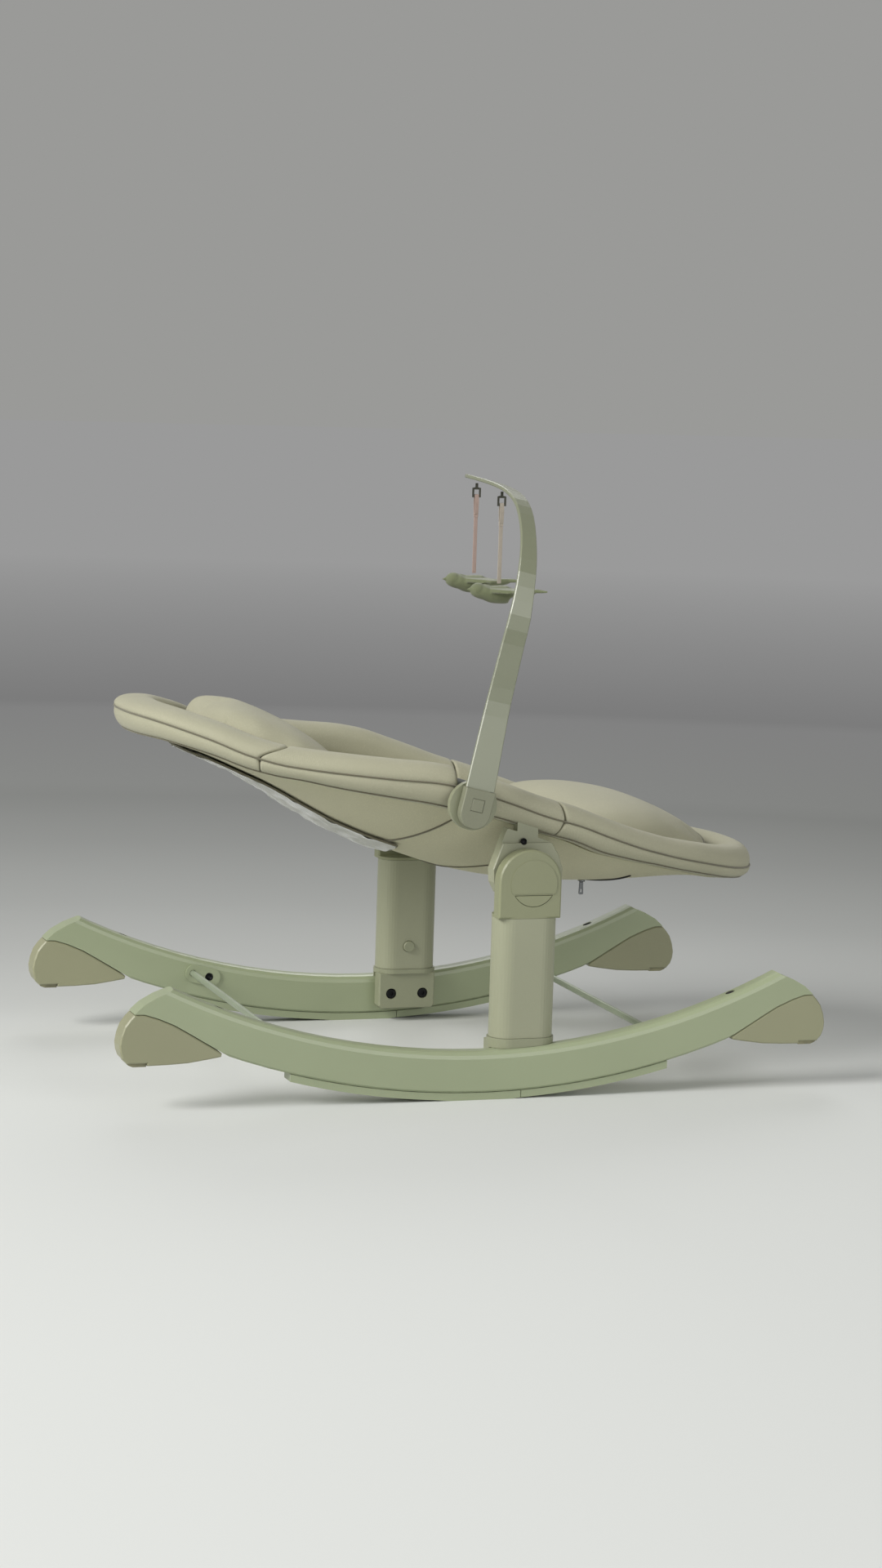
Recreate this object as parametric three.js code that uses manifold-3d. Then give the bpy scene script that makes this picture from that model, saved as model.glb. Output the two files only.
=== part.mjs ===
// Baby rocker seat, in millimetres. +Z is up, +X runs to the foot end, -Y is the toy bar's side.
// The origin is on the floor, midway between the runners and midway along them.
import * as THREE from "three";
import { mergeVertices } from "three/addons/utils/BufferGeometryUtils.js";
import Module from "manifold-3d";

const wasm = await Module();
wasm.setup();

// Base
const rockRadius = 955.6;
const skidThickness = 9.4;
const beamHeight = 50;
const beamWidth = 31;
const beamOuterY = 270;
const flatHalf = 40;
const skidEnd = 241;
const skidSeam = 51;
const rodX = 235;
const rodRadius = 4.2;
const gap = 0.3;

// Uprights
const postX = 58;
const postWidth = 80;
const postThickness = 44;
const postOuterY = 259;
const postBottom = 72.3;
const postTop = 219.7;
const postWall = 3.5;
const pivotX = 62;
const pivotZ = 262;
const hubTop = 304;

// Seat
const ringCentreX = 19.5;
const ringHalfLength = 417;
const ringHalfWidth = 237;
const rimHalf = 27;
const tubeRadius = 9;
const ringPower = 2.35;

// Toy bar
const barX = -16;
const barZ = 358;
const barLean = 13;
const barThickness = 5;
const toyY = [35, -68];

const beamRadius = rockRadius - skidThickness;
const topRadius = beamRadius - beamHeight;
const innerFaceY = beamOuterY - beamWidth;
const postY = postOuterY - postThickness / 2;
const postInnerY = postOuterY - postThickness;

const greenPlastic = { color: 0x93a07c, roughness: 0.42, metalness: 0 };
const khakiPlastic = { color: 0x939679, roughness: 0.46, metalness: 0 };
const rubber = { color: 0x5d5d4c, roughness: 0.8, metalness: 0 };
const blackSteel = { color: 0x1a1b1c, roughness: 0.5, metalness: 0.6 };
const steel = { color: 0x9a9d9c, roughness: 0.35, metalness: 0.9 };
const fabric = { color: 0xc9c5b0, roughness: 0.9, metalness: 0 };
const liningFabric = { color: 0x9a9880, roughness: 0.9, metalness: 0 };
const meshFabric = { color: 0xa9a99e, roughness: 0.85, metalness: 0 };
const felt = { color: 0x74795a, roughness: 0.95, metalness: 0 };
const ribbon = { color: 0x9d968c, roughness: 0.9, metalness: 0 };
const chrome = { color: 0xc8cbcc, roughness: 0.15, metalness: 1 };

const swing = new THREE.Group();

function add(name, geometry, look, parent = swing) {
  const mesh = new THREE.Mesh(geometry, new THREE.MeshStandardMaterial(look));
  mesh.name = name;
  parent.add(mesh);
  return mesh;
}

// A closed geometry from points and triangles, turned so that its faces point out.
function solidOf(points, triangles) {
  let volume = 0;
  for (const [a, b, c] of triangles) {
    const [ax, ay, az] = points[a];
    const [bx, by, bz] = points[b];
    const [cx, cy, cz] = points[c];
    volume += ax * (by * cz - bz * cy) + ay * (bz * cx - bx * cz) + az * (bx * cy - by * cx);
  }
  const order = volume < 0 ? triangles.map(([a, b, c]) => [a, c, b]) : triangles;
  const geometry = new THREE.BufferGeometry();
  geometry.setAttribute("position", new THREE.Float32BufferAttribute(points.flat(), 3));
  geometry.setIndex(order.flat());
  geometry.computeVertexNormals();
  return geometry;
}

function quads(triangles, from, to, count) {
  for (let i = 0; i < count; i += 1) {
    const j = (i + 1) % count;
    triangles.push([from + i, from + j, to + j], [from + i, to + j, to + i]);
  }
}

// A solid through loops of the same count, with flat ends, or joined up when closed is true.
function loft(loops, closed = false) {
  const count = loops[0].length;
  const triangles = [];
  const last = loops.length - 1;
  for (let i = 0; i < last; i += 1) quads(triangles, i * count, (i + 1) * count, count);
  if (closed) {
    quads(triangles, last * count, 0, count);
  } else {
    for (let i = 1; i < count - 1; i += 1) {
      triangles.push([0, i + 1, i], [last * count, last * count + i, last * count + i + 1]);
    }
  }
  return solidOf(loops.flat(), triangles);
}

// A tube through outer and inner loops, with ring-shaped ends.
function sleeve(outer, inner) {
  const count = outer[0].length;
  const triangles = [];
  const innerStart = outer.length * count;
  const last = (outer.length - 1) * count;
  for (let i = 0; i < outer.length - 1; i += 1) {
    quads(triangles, i * count, (i + 1) * count, count);
    quads(triangles, innerStart + (i + 1) * count, innerStart + i * count, count);
  }
  quads(triangles, innerStart, 0, count);
  quads(triangles, last, innerStart + last, count);
  return solidOf([...outer, ...inner].flat(), triangles);
}

// A sheet between two grids of points, open edges joined by walls. Rows run round, columns out.
function bowl(lower, upper) {
  const rings = lower.length;
  const count = lower[0].length;
  const points = [...lower.flat(), ...upper.flat()];
  const offset = rings * count;
  const triangles = [];
  for (let r = 0; r < rings - 1; r += 1) {
    quads(triangles, r * count, (r + 1) * count, count);
    quads(triangles, offset + (r + 1) * count, offset + r * count, count);
  }
  quads(triangles, (rings - 1) * count, offset + (rings - 1) * count, count);
  for (let i = 1; i < count - 1; i += 1) {
    triangles.push([0, i + 1, i], [offset, offset + i, offset + i + 1]);
  }
  return solidOf(points, triangles);
}

function toSolid(geometry) {
  const plain = geometry.clone();
  plain.deleteAttribute("normal");
  plain.deleteAttribute("uv");
  const merged = mergeVertices(plain, 1e-4);
  return new wasm.Manifold(new wasm.Mesh({
    numProp: 3,
    vertProperties: new Float32Array(merged.attributes.position.array),
    triVerts: new Uint32Array(merged.index.array),
  }));
}

function fromSolid(solid) {
  const mesh = solid.getMesh();
  const geometry = new THREE.BufferGeometry();
  geometry.setAttribute("position", new THREE.BufferAttribute(new Float32Array(mesh.vertProperties), 3));
  geometry.setIndex(new THREE.BufferAttribute(new Uint32Array(mesh.triVerts), 1));
  geometry.computeVertexNormals();
  return geometry;
}

function cut(geometry, ...cutters) {
  let solid = toSolid(geometry);
  for (const cutter of cutters) solid = solid.subtract(toSolid(cutter));
  return fromSolid(solid);
}

function join(geometry, ...others) {
  let solid = toSolid(geometry);
  for (const other of others) solid = solid.add(toSolid(other));
  return fromSolid(solid);
}

function mirrored(geometry, x, y) {
  const copy = geometry.clone();
  copy.scale(x, y, 1);
  if (x * y > 0) return copy;
  if (copy.index === null) return fromSolid(toSolidFlipped(copy));
  const index = copy.index.array;
  for (let i = 0; i < index.length; i += 3) {
    const kept = index[i + 1];
    index[i + 1] = index[i + 2];
    index[i + 2] = kept;
  }
  copy.computeVertexNormals();
  return copy;
}

function toSolidFlipped(geometry) {
  const plain = geometry.clone();
  plain.deleteAttribute("normal");
  plain.deleteAttribute("uv");
  const merged = mergeVertices(plain, 1e-4);
  const index = Uint32Array.from(merged.index.array);
  for (let i = 0; i < index.length; i += 3) {
    const kept = index[i + 1];
    index[i + 1] = index[i + 2];
    index[i + 2] = kept;
  }
  return new wasm.Manifold(new wasm.Mesh({
    numProp: 3,
    vertProperties: new Float32Array(merged.attributes.position.array),
    triVerts: index,
  }));
}

function shapeOf(points) {
  return new THREE.Shape(points.map(([x, z]) => new THREE.Vector2(x, z)));
}

// An outline in X and Z, given thickness from one Y to the other, with a small chamfer if asked.
function slab(outline, fromY, toY, chamfer = 0, curveSegments = 8) {
  const shape = Array.isArray(outline) ? shapeOf(outline) : outline;
  const geometry = new THREE.ExtrudeGeometry(shape, {
    depth: toY - fromY - 2 * chamfer,
    bevelEnabled: chamfer > 0,
    bevelThickness: chamfer,
    bevelSize: chamfer,
    bevelOffset: -chamfer,
    bevelSegments: 1,
    curveSegments,
  });
  geometry.rotateX(Math.PI / 2);
  geometry.translate(0, toY - chamfer, 0);
  return geometry;
}

function pinY(x, z, radius, fromY, toY, sides = 20) {
  const pin = new THREE.CylinderGeometry(radius, radius, toY - fromY, sides);
  pin.translate(x, (fromY + toY) / 2, z);
  return pin;
}

function block(x0, x1, y0, y1, z0, z1) {
  const box = new THREE.BoxGeometry(x1 - x0, y1 - y0, z1 - z0);
  box.translate((x0 + x1) / 2, (y0 + y1) / 2, (z0 + z1) / 2);
  return box;
}

function along(table, x) {
  if (x <= table[0][0]) return table[0][1];
  for (let i = 1; i < table.length; i += 1) {
    const [x0, v0] = table[i - 1];
    const [x1, v1] = table[i];
    if (x <= x1) return v0 + (v1 - v0) * (x - x0) / (x1 - x0);
  }
  return table[table.length - 1][1];
}

function arcZ(radius, x) {
  return rockRadius - Math.sqrt(radius * radius - x * x);
}

function bothSides(name, geometry, look) {
  add(`${name}_left`, geometry, look);
  add(`${name}_right`, mirrored(geometry, 1, -1), look);
}

function bothEnds(name, geometry, look) {
  bothSides(`${name}_foot`, geometry, look);
  bothSides(`${name}_head`, mirrored(geometry, -1, 1), look);
}

// Runners: a moulded beam on an arc, its ends cut away for the stopper feet.
const beamSection = [
  [-15.5, 2.5], [-13, 0], [13, 0], [15.5, 2.5], [15.5, 41], [14.3, 45.5], [11, 48.8], [6.5, 50],
  [-6.5, 50], [-11, 48.8], [-14.3, 45.5], [-15.5, 41],
];
const beamMidY = beamOuterY - beamWidth / 2;
const beamLoops = [];
for (let i = -14; i <= 14; i += 1) {
  const angle = THREE.MathUtils.degToRad(i * 2.05);
  beamLoops.push(beamSection.map(([y, h]) => {
    const radius = beamRadius - h;
    return [radius * Math.sin(angle), beamMidY + y, rockRadius - radius * Math.cos(angle)];
  }));
}
const endCut = [
  [383, 220], [383, 148], [390, 143.8], [405, 138], [421, 129], [430, 121], [432.5, 118.2], [421, 118],
  [405, 113], [384, 104], [366, 93.6], [350, 84], [320, 66], [300, 54], [300, -20], [560, -20], [560, 220],
];
const endCutter = slab(endCut, 200, 300);
const topHole = new THREE.CylinderGeometry(5, 5, 8, 16);
topHole.scale(1.3, 1, 1);
topHole.rotateX(Math.PI / 2);
topHole.rotateY(-Math.asin(326.7 / topRadius));
topHole.translate(326.7, beamMidY, arcZ(topRadius, 326.7) + 0.8);
const runner = cut(
  loft(beamLoops), endCutter, mirrored(endCutter, -1, 1), topHole, mirrored(topHole, -1, 1),
);
bothSides("runner", runner, greenPlastic);

// Skid strips under each runner, flat for a short stretch in the middle.
function skid(fromX, toX) {
  const xs = [fromX];
  for (let x = -220; x <= 220; x += 20) if (x > fromX + 4 && x < toX - 4) xs.push(x);
  xs.push(toX);
  return loft(xs.map((x) => {
    const low = Math.abs(x) <= flatHalf ? 0 : arcZ(rockRadius, x);
    const high = arcZ(beamRadius, x) - gap - 0.15;
    return [[x, beamMidY - 13.5, low], [x, beamMidY + 13.5, low], [x, beamMidY + 13.5, high],
      [x, beamMidY - 13.5, high]];
  }));
}
bothSides("skid_head", skid(-skidEnd, skidSeam - 0.4), greenPlastic);
bothSides("skid_foot", skid(skidSeam + 0.4, skidEnd), greenPlastic);

// Stopper feet fill the cut ends and fold down about their inner tips.
const stopperOutline = [
  [326, 68.2], [350.4, 83.1], [366.3, 92.7], [384.2, 103.1], [405.2, 112.2], [421, 117.2], [433, 117.4],
  [438.5, 111.5], [444, 104], [448, 93], [450, 82], [449, 73], [446.2, 65.6], [441.5, 60.6], [441.2, 59.4],
  [416.6, 59.4], [416.4, 56.2], [393, 56.6], [367, 58], [341, 61.8], [327, 64.2],
];
const stopper = slab(stopperOutline, innerFaceY, beamOuterY, 1.6);
bothEnds("stopper", stopper, khakiPlastic);
const stopperPad = slab([[417, 54.8], [433, 54.8], [438.5, 57], [440.6, 59], [417, 59]],
  innerFaceY + 4, beamOuterY - 4);
bothEnds("stopper_pad", stopperPad, rubber);

// Cross rods and the pill-shaped plates that hold them on the runners' inner faces.
const rodZ = 70;
for (const [end, sign] of [["head", -1], ["foot", 1]]) {
  add(`cross_rod_${end}`, pinY(sign * rodX, rodZ, rodRadius, -238.6, 238.6, 12), steel);
}
const plateShape = new THREE.Shape();
plateShape.absarc(-13, 0, 12, Math.PI / 2, -Math.PI / 2, false);
plateShape.absarc(11, 0, 12, -Math.PI / 2, Math.PI / 2, false);
const plate = slab(plateShape, 236.2, 238.7, 0, 5);
plate.rotateY(THREE.MathUtils.degToRad(-13.4));
plate.translate(222.4, 0, 67);
const rodHole = pinY(rodX, rodZ, rodRadius + 0.5, 230, 245, 12);
const screwHole = pinY(213, 64.6, 5.6, 230, 245, 12);
bothEnds("rod_plate", cut(plate, rodHole, screwHole), greenPlastic);

// Post shoes: a collar on the runner's top and a bolted block on its inner face.
function ovalShape(width, thickness) {
  const shape = new THREE.Shape();
  const r = thickness / 2;
  const half = width / 2 - r;
  shape.absarc(half, 0, r, -Math.PI / 2, Math.PI / 2, false);
  shape.absarc(-half, 0, r, Math.PI / 2, Math.PI * 1.5, false);
  return shape;
}

function ovalPrism(width, thickness, fromZ, toZ, centreY, hole, curveSegments = 9) {
  const shape = ovalShape(width, thickness);
  if (hole) shape.holes.push(ovalShape(width - 2 * hole, thickness - 2 * hole));
  const prism = new THREE.ExtrudeGeometry(shape, { depth: toZ - fromZ, bevelEnabled: false, curveSegments });
  prism.translate(postX, centreY, fromZ);
  return prism;
}

const underArc = [[-40, -30]];
for (let x = -40; x <= 160; x += 10) underArc.push([x, arcZ(topRadius - gap - 0.1, x)]);
underArc.push([160, -30]);
const shoeBlock = slab([[22, 18], [92, 18], [96, 22], [96, 67], [18, 67], [18, 22]], 217, innerFaceY - gap, 1.5);
let shoe = ovalPrism(postWidth + 4, postThickness + 4, 40, postBottom - gap, postY);
shoe = cut(shoe, slab(underArc, innerFaceY - gap - 0.01, 320), block(-20, 140, 180, innerFaceY - gap, 0, 66));
shoe = join(shoe, shoeBlock);
shoe = cut(
  shoe, pinY(35, 38.5, 7.3, 200, 221), pinY(79, 38.5, 7.3, 200, 221),
  block(-20, 140, 150, 340, postBottom - gap, 120),
);
bothSides("shoe", shoe, khakiPlastic);
const boltProfile = [[0, 0], [6.5, 0], [6.5, 2.6], [5.7, 3.3], [3, 3.3], [3, 1.3], [0, 1.3]];
const bolt = new THREE.LatheGeometry(boltProfile.map(([r, h]) => new THREE.Vector2(r, h)), 12);
bolt.rotateX(Math.PI);
for (const [tag, x] of [["a", 35], ["b", 79]]) {
  const placed = bolt.clone();
  placed.translate(x, 220.6, 38.5);
  add(`shoe_bolt_left_${tag}`, placed, blackSteel);
  const other = bolt.clone();
  other.rotateX(Math.PI);
  other.translate(x, -220.6, 38.5);
  add(`shoe_bolt_right_${tag}`, other, blackSteel);
}

// Posts: hollow oval tubes with a round release button in the inner wall.
const buttonX = 57;
const buttonZ = 103;
const post = cut(
  ovalPrism(postWidth, postThickness, postBottom, postTop, postY, postWall),
  pinY(buttonX, buttonZ, 8, postInnerY - 4, postInnerY + 6),
);
bothSides("post", post, khakiPlastic);
const postButtonProfile = [[0, 0], [6.6, 0], [7.5, 0.8], [7.5, 7.6], [9.6, 7.6], [9.6, 9.2], [0, 9.2]];
const postButton = new THREE.LatheGeometry(postButtonProfile.map(([r, h]) => new THREE.Vector2(r, h)), 20);
postButton.translate(buttonX, postInnerY - 3.6, buttonZ);
bothSides("post_button", postButton, khakiPlastic);

// Hubs: a plug in the post's top, a saddle, and an arched outer cheek with the recline button.
const archShape = new THREE.Shape();
archShape.moveTo(postX - 40, postTop + gap);
archShape.lineTo(postX + 40, postTop + gap);
archShape.lineTo(postX + 40, hubTop - 40);
archShape.absarc(postX, hubTop - 40, 40, 0, Math.PI, false);
archShape.lineTo(postX - 40, postTop + gap);
const arch = slab(archShape, 238, postOuterY, 2, 10);
const ringShape = new THREE.Shape();
const splitAngle = Math.asin(-11.5 / 29.7);
ringShape.absarc(pivotX, pivotZ, 29.7, splitAngle, Math.PI - splitAngle, false);
const dial = slab(ringShape, 255, postOuterY + 0.8, 0, 10);
const segmentShape = (radius, top) => {
  const shape = new THREE.Shape();
  const angle = Math.asin((top - pivotZ) / radius);
  shape.absarc(pivotX, pivotZ, radius, Math.PI - angle, Math.PI * 2 + angle, false);
  return shape;
};
let hub = join(
  arch, dial,
  ovalPrism(postWidth, postThickness, postTop + gap, 223.5, postY),
  ovalPrism(postWidth - 2 * postWall - 0.8, postThickness - 2 * postWall - 0.8, 205, 222, postY),
);
hub = cut(
  hub, slab(segmentShape(28, 248.6), 250, 270, 0, 7), pinY(pivotX, pivotZ, 8.4, 230, 250),
);
bothSides("hub", hub, khakiPlastic);
const hubButton = slab(segmentShape(27.5, 248), 253.6, postOuterY + 0.6, 0.6, 7);
bothSides("hub_button", hubButton, khakiPlastic);
const axleProfile = [[0, 0], [12, 0], [12, 3], [8, 3], [8, 36], [0, 36]];
const axle = new THREE.LatheGeometry(axleProfile.map(([r, h]) => new THREE.Vector2(r, h)), 20);
axle.translate(pivotX, 212.6, pivotZ);
bothSides("axle", axle, steel);

// Seat ring: heights of the piping line, and how far the rim reaches above and below it.
const seamZ = [
  [-404, 451], [-378, 446], [-354, 438], [-322, 427], [-291, 413], [-250, 402], [-202, 396], [-161, 392],
  [-107, 387], [-61, 384], [-20, 377], [9, 367], [44, 356], [87, 341], [137, 328], [180, 312], [225, 297],
  [277, 283], [334, 270], [377, 260], [416, 253], [456, 251],
];
const rimUp = [[-404, 13], [-378, 14], [-350, 16], [-300, 20], [-200, 22], [277, 23], [400, 28], [456, 29]];
const rimDown = [
  [-404, 31], [-378, 26], [-350, 24], [-327, 22], [-271, 19], [-230, 17], [-177, 22], [-100, 27],
  [-46, 32], [-20, 32], [17, 26], [60, 24], [131, 23], [169, 25], [210, 20], [258, 16], [327, 15], [456, 15],
];

function signedPower(value, power) {
  return Math.sign(value) * Math.abs(value) ** power;
}

// Station of the ring at an angle: 0 at the foot end, 90 on the left, 180 at the head end.
function station(angle) {
  const a = THREE.MathUtils.degToRad(angle);
  const cx = signedPower(Math.cos(a), 2 / ringPower);
  const sy = signedPower(Math.sin(a), 2 / ringPower);
  const outlineX = ringCentreX + ringHalfLength * cx;
  const halfLength = ringHalfLength - rimHalf;
  const halfWidth = ringHalfWidth - rimHalf;
  const x = ringCentreX + halfLength * cx;
  const y = halfWidth * sy;
  const nx = signedPower(cx, ringPower - 1) / halfLength;
  const ny = signedPower(sy, ringPower - 1) / halfWidth;
  const length = Math.hypot(nx, ny);
  return {
    x, y, nx: nx / length, ny: ny / length,
    z: along(seamZ, outlineX), up: along(rimUp, outlineX), down: along(rimDown, outlineX),
  };
}

function angleAt(x, side) {
  const cx = (x - ringCentreX) / (ringHalfLength - rimHalf);
  const angle = THREE.MathUtils.radToDeg(Math.acos(signedPower(cx, ringPower / 2)));
  return side > 0 ? angle : 360 - angle;
}

const ringSides = 10;

function circleLoop(at, radius) {
  return Array.from({ length: ringSides }, (_, i) => {
    const t = i / ringSides * Math.PI * 2;
    const u = radius * Math.cos(t);
    return [at.x + at.nx * u, at.y + at.ny * u, at.z + 1 + radius * Math.sin(t)];
  });
}

function rimLoop(at) {
  return Array.from({ length: ringSides }, (_, i) => {
    const t = i / ringSides * Math.PI * 2;
    const u = rimHalf * signedPower(Math.cos(t), 0.8);
    const h = signedPower(Math.sin(t), 0.8) * (Math.sin(t) > 0 ? at.up : at.down);
    return [at.x + at.nx * u, at.y + at.ny * u, at.z + h];
  });
}

const seamHead = -256;
const seamFront = 108;
const leftHead = angleAt(seamHead, 1);
const leftFront = angleAt(seamFront, 1);
const rightHead = angleAt(seamHead, -1);
const rightFront = angleAt(seamFront, -1);
const clipBack = angleAt(barX - 21.5, -1);
const clipFront = angleAt(barX + 21.5, -1);
const seamGap = 0.12;
const ends = [leftFront, leftHead, rightHead, clipBack, clipFront, rightFront];
const angles = ends.flatMap((a) => [a - seamGap, a + seamGap]);
for (let a = 4; a < 360; a += 8) {
  if (ends.every((b) => Math.abs(a - b) > 2)) angles.push(a);
}
angles.sort((a, b) => a - b);
add("seat_frame", loft(angles.map((a) => circleLoop(station(a), tubeRadius)), true), steel);

function rim(fromAngle, toAngle) {
  const inside = angles.filter((a) => a > fromAngle && a < toAngle).map(station);
  return sleeve(inside.map(rimLoop), inside.map((at) => circleLoop(at, tubeRadius + 1)));
}

// The bracket tongues reach the tube through slots in the rim's underside.
const tongueSlot = (side) => block(47, 77, side * 221.5 - 8, side * 221.5 + 8, 280, 347);
const footAngles = angles.filter((a) => a > rightFront).map((a) => a - 360);
footAngles.push(...angles.filter((a) => a < leftFront));
const footStations = footAngles.map(station);
add("rim_foot", sleeve(
  footStations.map(rimLoop), footStations.map((at) => circleLoop(at, tubeRadius + 1)),
), fabric);
add("rim_left", cut(rim(leftFront, leftHead), tongueSlot(1)), fabric);
add("rim_head", rim(leftHead, rightHead), fabric);
add("rim_right_back", rim(rightHead, clipBack), fabric);
add("rim_right_front", cut(rim(clipFront, rightFront), tongueSlot(-1)), fabric);

// Seat brackets: from the axles up to the frame tube.
const bracketShape = shapeOf([
  [36, 326.5], [48.5, 323], [49, 344.4], [75, 336.2], [75.5, 315], [92, 309.5], [101, 295], [107, 277],
  [106, 261], [99, 247.5], [87, 237.5], [75, 232.5], [62, 231], [49, 232.5], [37, 237.5], [25, 247.5],
  [18, 261], [17, 277], [24, 296], [32, 318],
]);
let bracket = slab(bracketShape, 214, 235, 1.2);
bracket = cut(
  bracket, pinY(pivotX, pivotZ, 8.4, 200, 245), pinY(56, 311, 4.4, 231.5, 245, 14),
  block(0, 130, 229.4, 240, 309, 360),
);
bracket = cut(bracket, pinY(pivotX, pivotZ, 12.6, 205, 216));
bothSides("seat_bracket", bracket, khakiPlastic);

// Sling: a bowl of cloth under the rim.
const slingZ = [
  [-372, 424], [-350, 415], [-300, 398], [-234, 366], [-195, 341], [-149, 313], [-100, 290], [-59, 275],
  [-20, 261], [21, 249], [60, 241], [99, 236], [150, 233], [198, 232], [250, 234], [300, 240], [345, 246],
  [390, 248], [424, 236],
];
const slingLength = ringHalfLength - rimHalf - 10;
const slingWidth = ringHalfWidth - rimHalf - 10;

function underRim(x) {
  const outlineX = ringCentreX + (x - ringCentreX) * ringHalfLength / slingLength;
  return along(seamZ, outlineX) - along(rimDown, outlineX) - 3.5;
}

function slingHeight(x, y) {
  const reach = Math.min(1, Math.abs(x - ringCentreX) / slingLength);
  const half = slingWidth * (1 - reach ** ringPower) ** (1 / ringPower);
  const edge = underRim(x);
  if (half < 1) return edge;
  const across = Math.min(1, Math.abs(y) / half);
  const lowest = Math.min(along(slingZ, x), edge);
  return edge + (lowest - edge) * (1 - across ** 2.6);
}

function slingGrid(shrink, rise) {
  return [0.1, 0.26, 0.42, 0.58, 0.72, 0.84, 0.93, 1].map((t) => {
    const row = [];
    for (let a = 4; a < 360; a += 8) {
      const r = THREE.MathUtils.degToRad(a);
      const cx = signedPower(Math.cos(r), 2 / ringPower);
      const sy = signedPower(Math.sin(r), 2 / ringPower);
      const x = ringCentreX + t * slingLength * cx;
      const y = t * slingWidth * sy;
      const z = slingHeight(x, y) + (t < 1 ? rise : 0);
      row.push([ringCentreX + (x - ringCentreX) * shrink, y * shrink, z]);
    }
    return row;
  });
}
add("sling", bowl(slingGrid(1, 0), slingGrid(0.976, 4.6)), liningFabric);

// Mesh panel under the sling's back.
function panelLoop(x, half) {
  const across = [-1, -0.66, -0.33, 0, 0.33, 0.66, 1].map((v) => v * half);
  const low = across.map((y) => [x, y, slingHeight(x, y) - 7]);
  const high = across.map((y) => [x, y, slingHeight(x, y) - 4]).reverse();
  return [...low, ...high];
}
const panelXs = [-318, -295, -264, -234, -214, -195, -172, -149, -124, -100, -80, -62];
const panel = loft(panelXs.map((x) => panelLoop(x, along([[-318, 60], [-264, 96], [-62, 108]], x))));
add("mesh_panel", panel, meshFabric);

// Pads at the head and foot ends of the seat.
function padLoop(x, half, top, bottom, crown) {
  const across = [-1, -0.9, -0.55, 0, 0.55, 0.9, 1].map((v) => v * half);
  const rise = [0.45, 0.8, 0.97, 1, 0.97, 0.8, 0.45];
  const high = across.map((y, i) => [x, y, top - crown * (1 - rise[i]) * 1.6]);
  const low = across.map((y) => [x, y, bottom(y)]).reverse();
  return [...high, ...low];
}
const headTop = [[-302, 457], [-292, 468], [-250, 460], [-200, 441], [-160, 418], [-120, 380], [-92, 336]];
const headHalf = [[-302, 84], [-292, 100], [-270, 118], [-250, 130], [-200, 144], [-140, 146], [-104, 130], [-92, 106]];
add("head_pad", loft([-302, -292, -270, -250, -225, -200, -180, -160, -140, -120, -104, -92].map((x) => {
  const half = along(headHalf, x);
  return padLoop(x, half, along(headTop, x), (y) => slingHeight(x, y * 1.06) + 13, 16);
})), fabric);

function ringInside(x) {
  const reach = Math.abs(x - ringCentreX) / (ringHalfLength - rimHalf);
  return (ringHalfWidth - rimHalf) * (1 - reach ** ringPower) ** (1 / ringPower) - rimHalf - 4;
}
const footTop = [
  [122, 322], [140, 340], [170, 350], [216, 350], [264, 342], [317, 320], [343, 306], [363, 298], [372, 290],
];
const footThick = [[122, 8], [140, 22], [170, 28], [300, 28], [343, 20], [363, 12], [372, 6]];
const footXs = [122, 140, 170, 193, 216, 240, 264, 290, 317, 330, 343, 353, 363, 372];
add("foot_pad", loft(footXs.map((x) => {
  const half = ringInside(x) - (x > 340 ? (x - 340) * 0.55 : 0);
  const top = along(footTop, x);
  return padLoop(x, half, top, (y) => top - along(footThick, x) - 12 * (y / half) ** 2, 12);
})), fabric);

// Zip pull hanging under the sling.
const pullShape = shapeOf([[202, 213], [203, 212], [207, 212], [208, 213], [207.4, 229], [202.6, 229]]);
pullShape.holes.push(new THREE.Path([[203.8, 214.6], [206.2, 214.6], [206, 219], [204, 219]].map(
  ([x, z]) => new THREE.Vector2(x, z),
)));
add("zip_pull", slab(pullShape, -41, -39), chrome);

// Toy bar socket: a round plate on the seat frame.
let socket = pinY(barX, barZ, 30, -250.4, -241, 28);
socket = join(socket, block(barX - 10, barX + 10, -242, -219.6, 362, 381));
socket = cut(socket, pinY(barX, barZ, 7.4, -252, -243));
add("toy_socket", socket, khakiPlastic);

// Toy bar, in a group that leans with it: the clip, its square button and the flat arched strip.
const toyBar = new THREE.Group();
toyBar.position.set(barX, 0, barZ);
toyBar.rotation.y = THREE.MathUtils.degToRad(barLean);
swing.add(toyBar);
const clipShape = new THREE.Shape();
clipShape.moveTo(-19, 21);
clipShape.lineTo(-19, -8);
clipShape.absarc(0, -8, 19, Math.PI, Math.PI * 2, false);
clipShape.lineTo(19, 21);
let clip = slab(clipShape, -265, -251, 1, 10);
clip = join(clip, pinY(0, 0, 7, -252, -243.6));
clip = cut(
  clip, block(-14, 14, -261.1, -255.3, -18, 40),
  block(-7.8, 7.8, -270, -260, -5.8, 9.8),
);
add("toy_clip", clip, khakiPlastic, toyBar);
const squareButton = slab([[-7.4, -5.4], [7.4, -5.4], [7.4, 9.4], [-7.4, 9.4]], -265.4, -263.2, 0.4);
add("toy_button", squareButton, khakiPlastic, toyBar);

const barPath = [
  [-258.2, 21.6], [-255, 50], [-250.5, 90], [-247, 125], [-246, 165], [-245.5, 205], [-246, 230],
  [-240, 262], [-229, 294], [-210, 324], [-184, 350], [-154, 368], [-112, 380], [-60, 386], [0, 389.5],
  [66, 392],
];
const barWidth = [
  [21, 37], [125, 31], [205, 28.5], [230, 28], [262, 24.5], [294, 22.5], [330, 20], [380, 20], [391, 20],
];
const barCurve = new THREE.CatmullRomCurve3(barPath.map(([y, s]) => new THREE.Vector3(0, y, s)));

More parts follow.
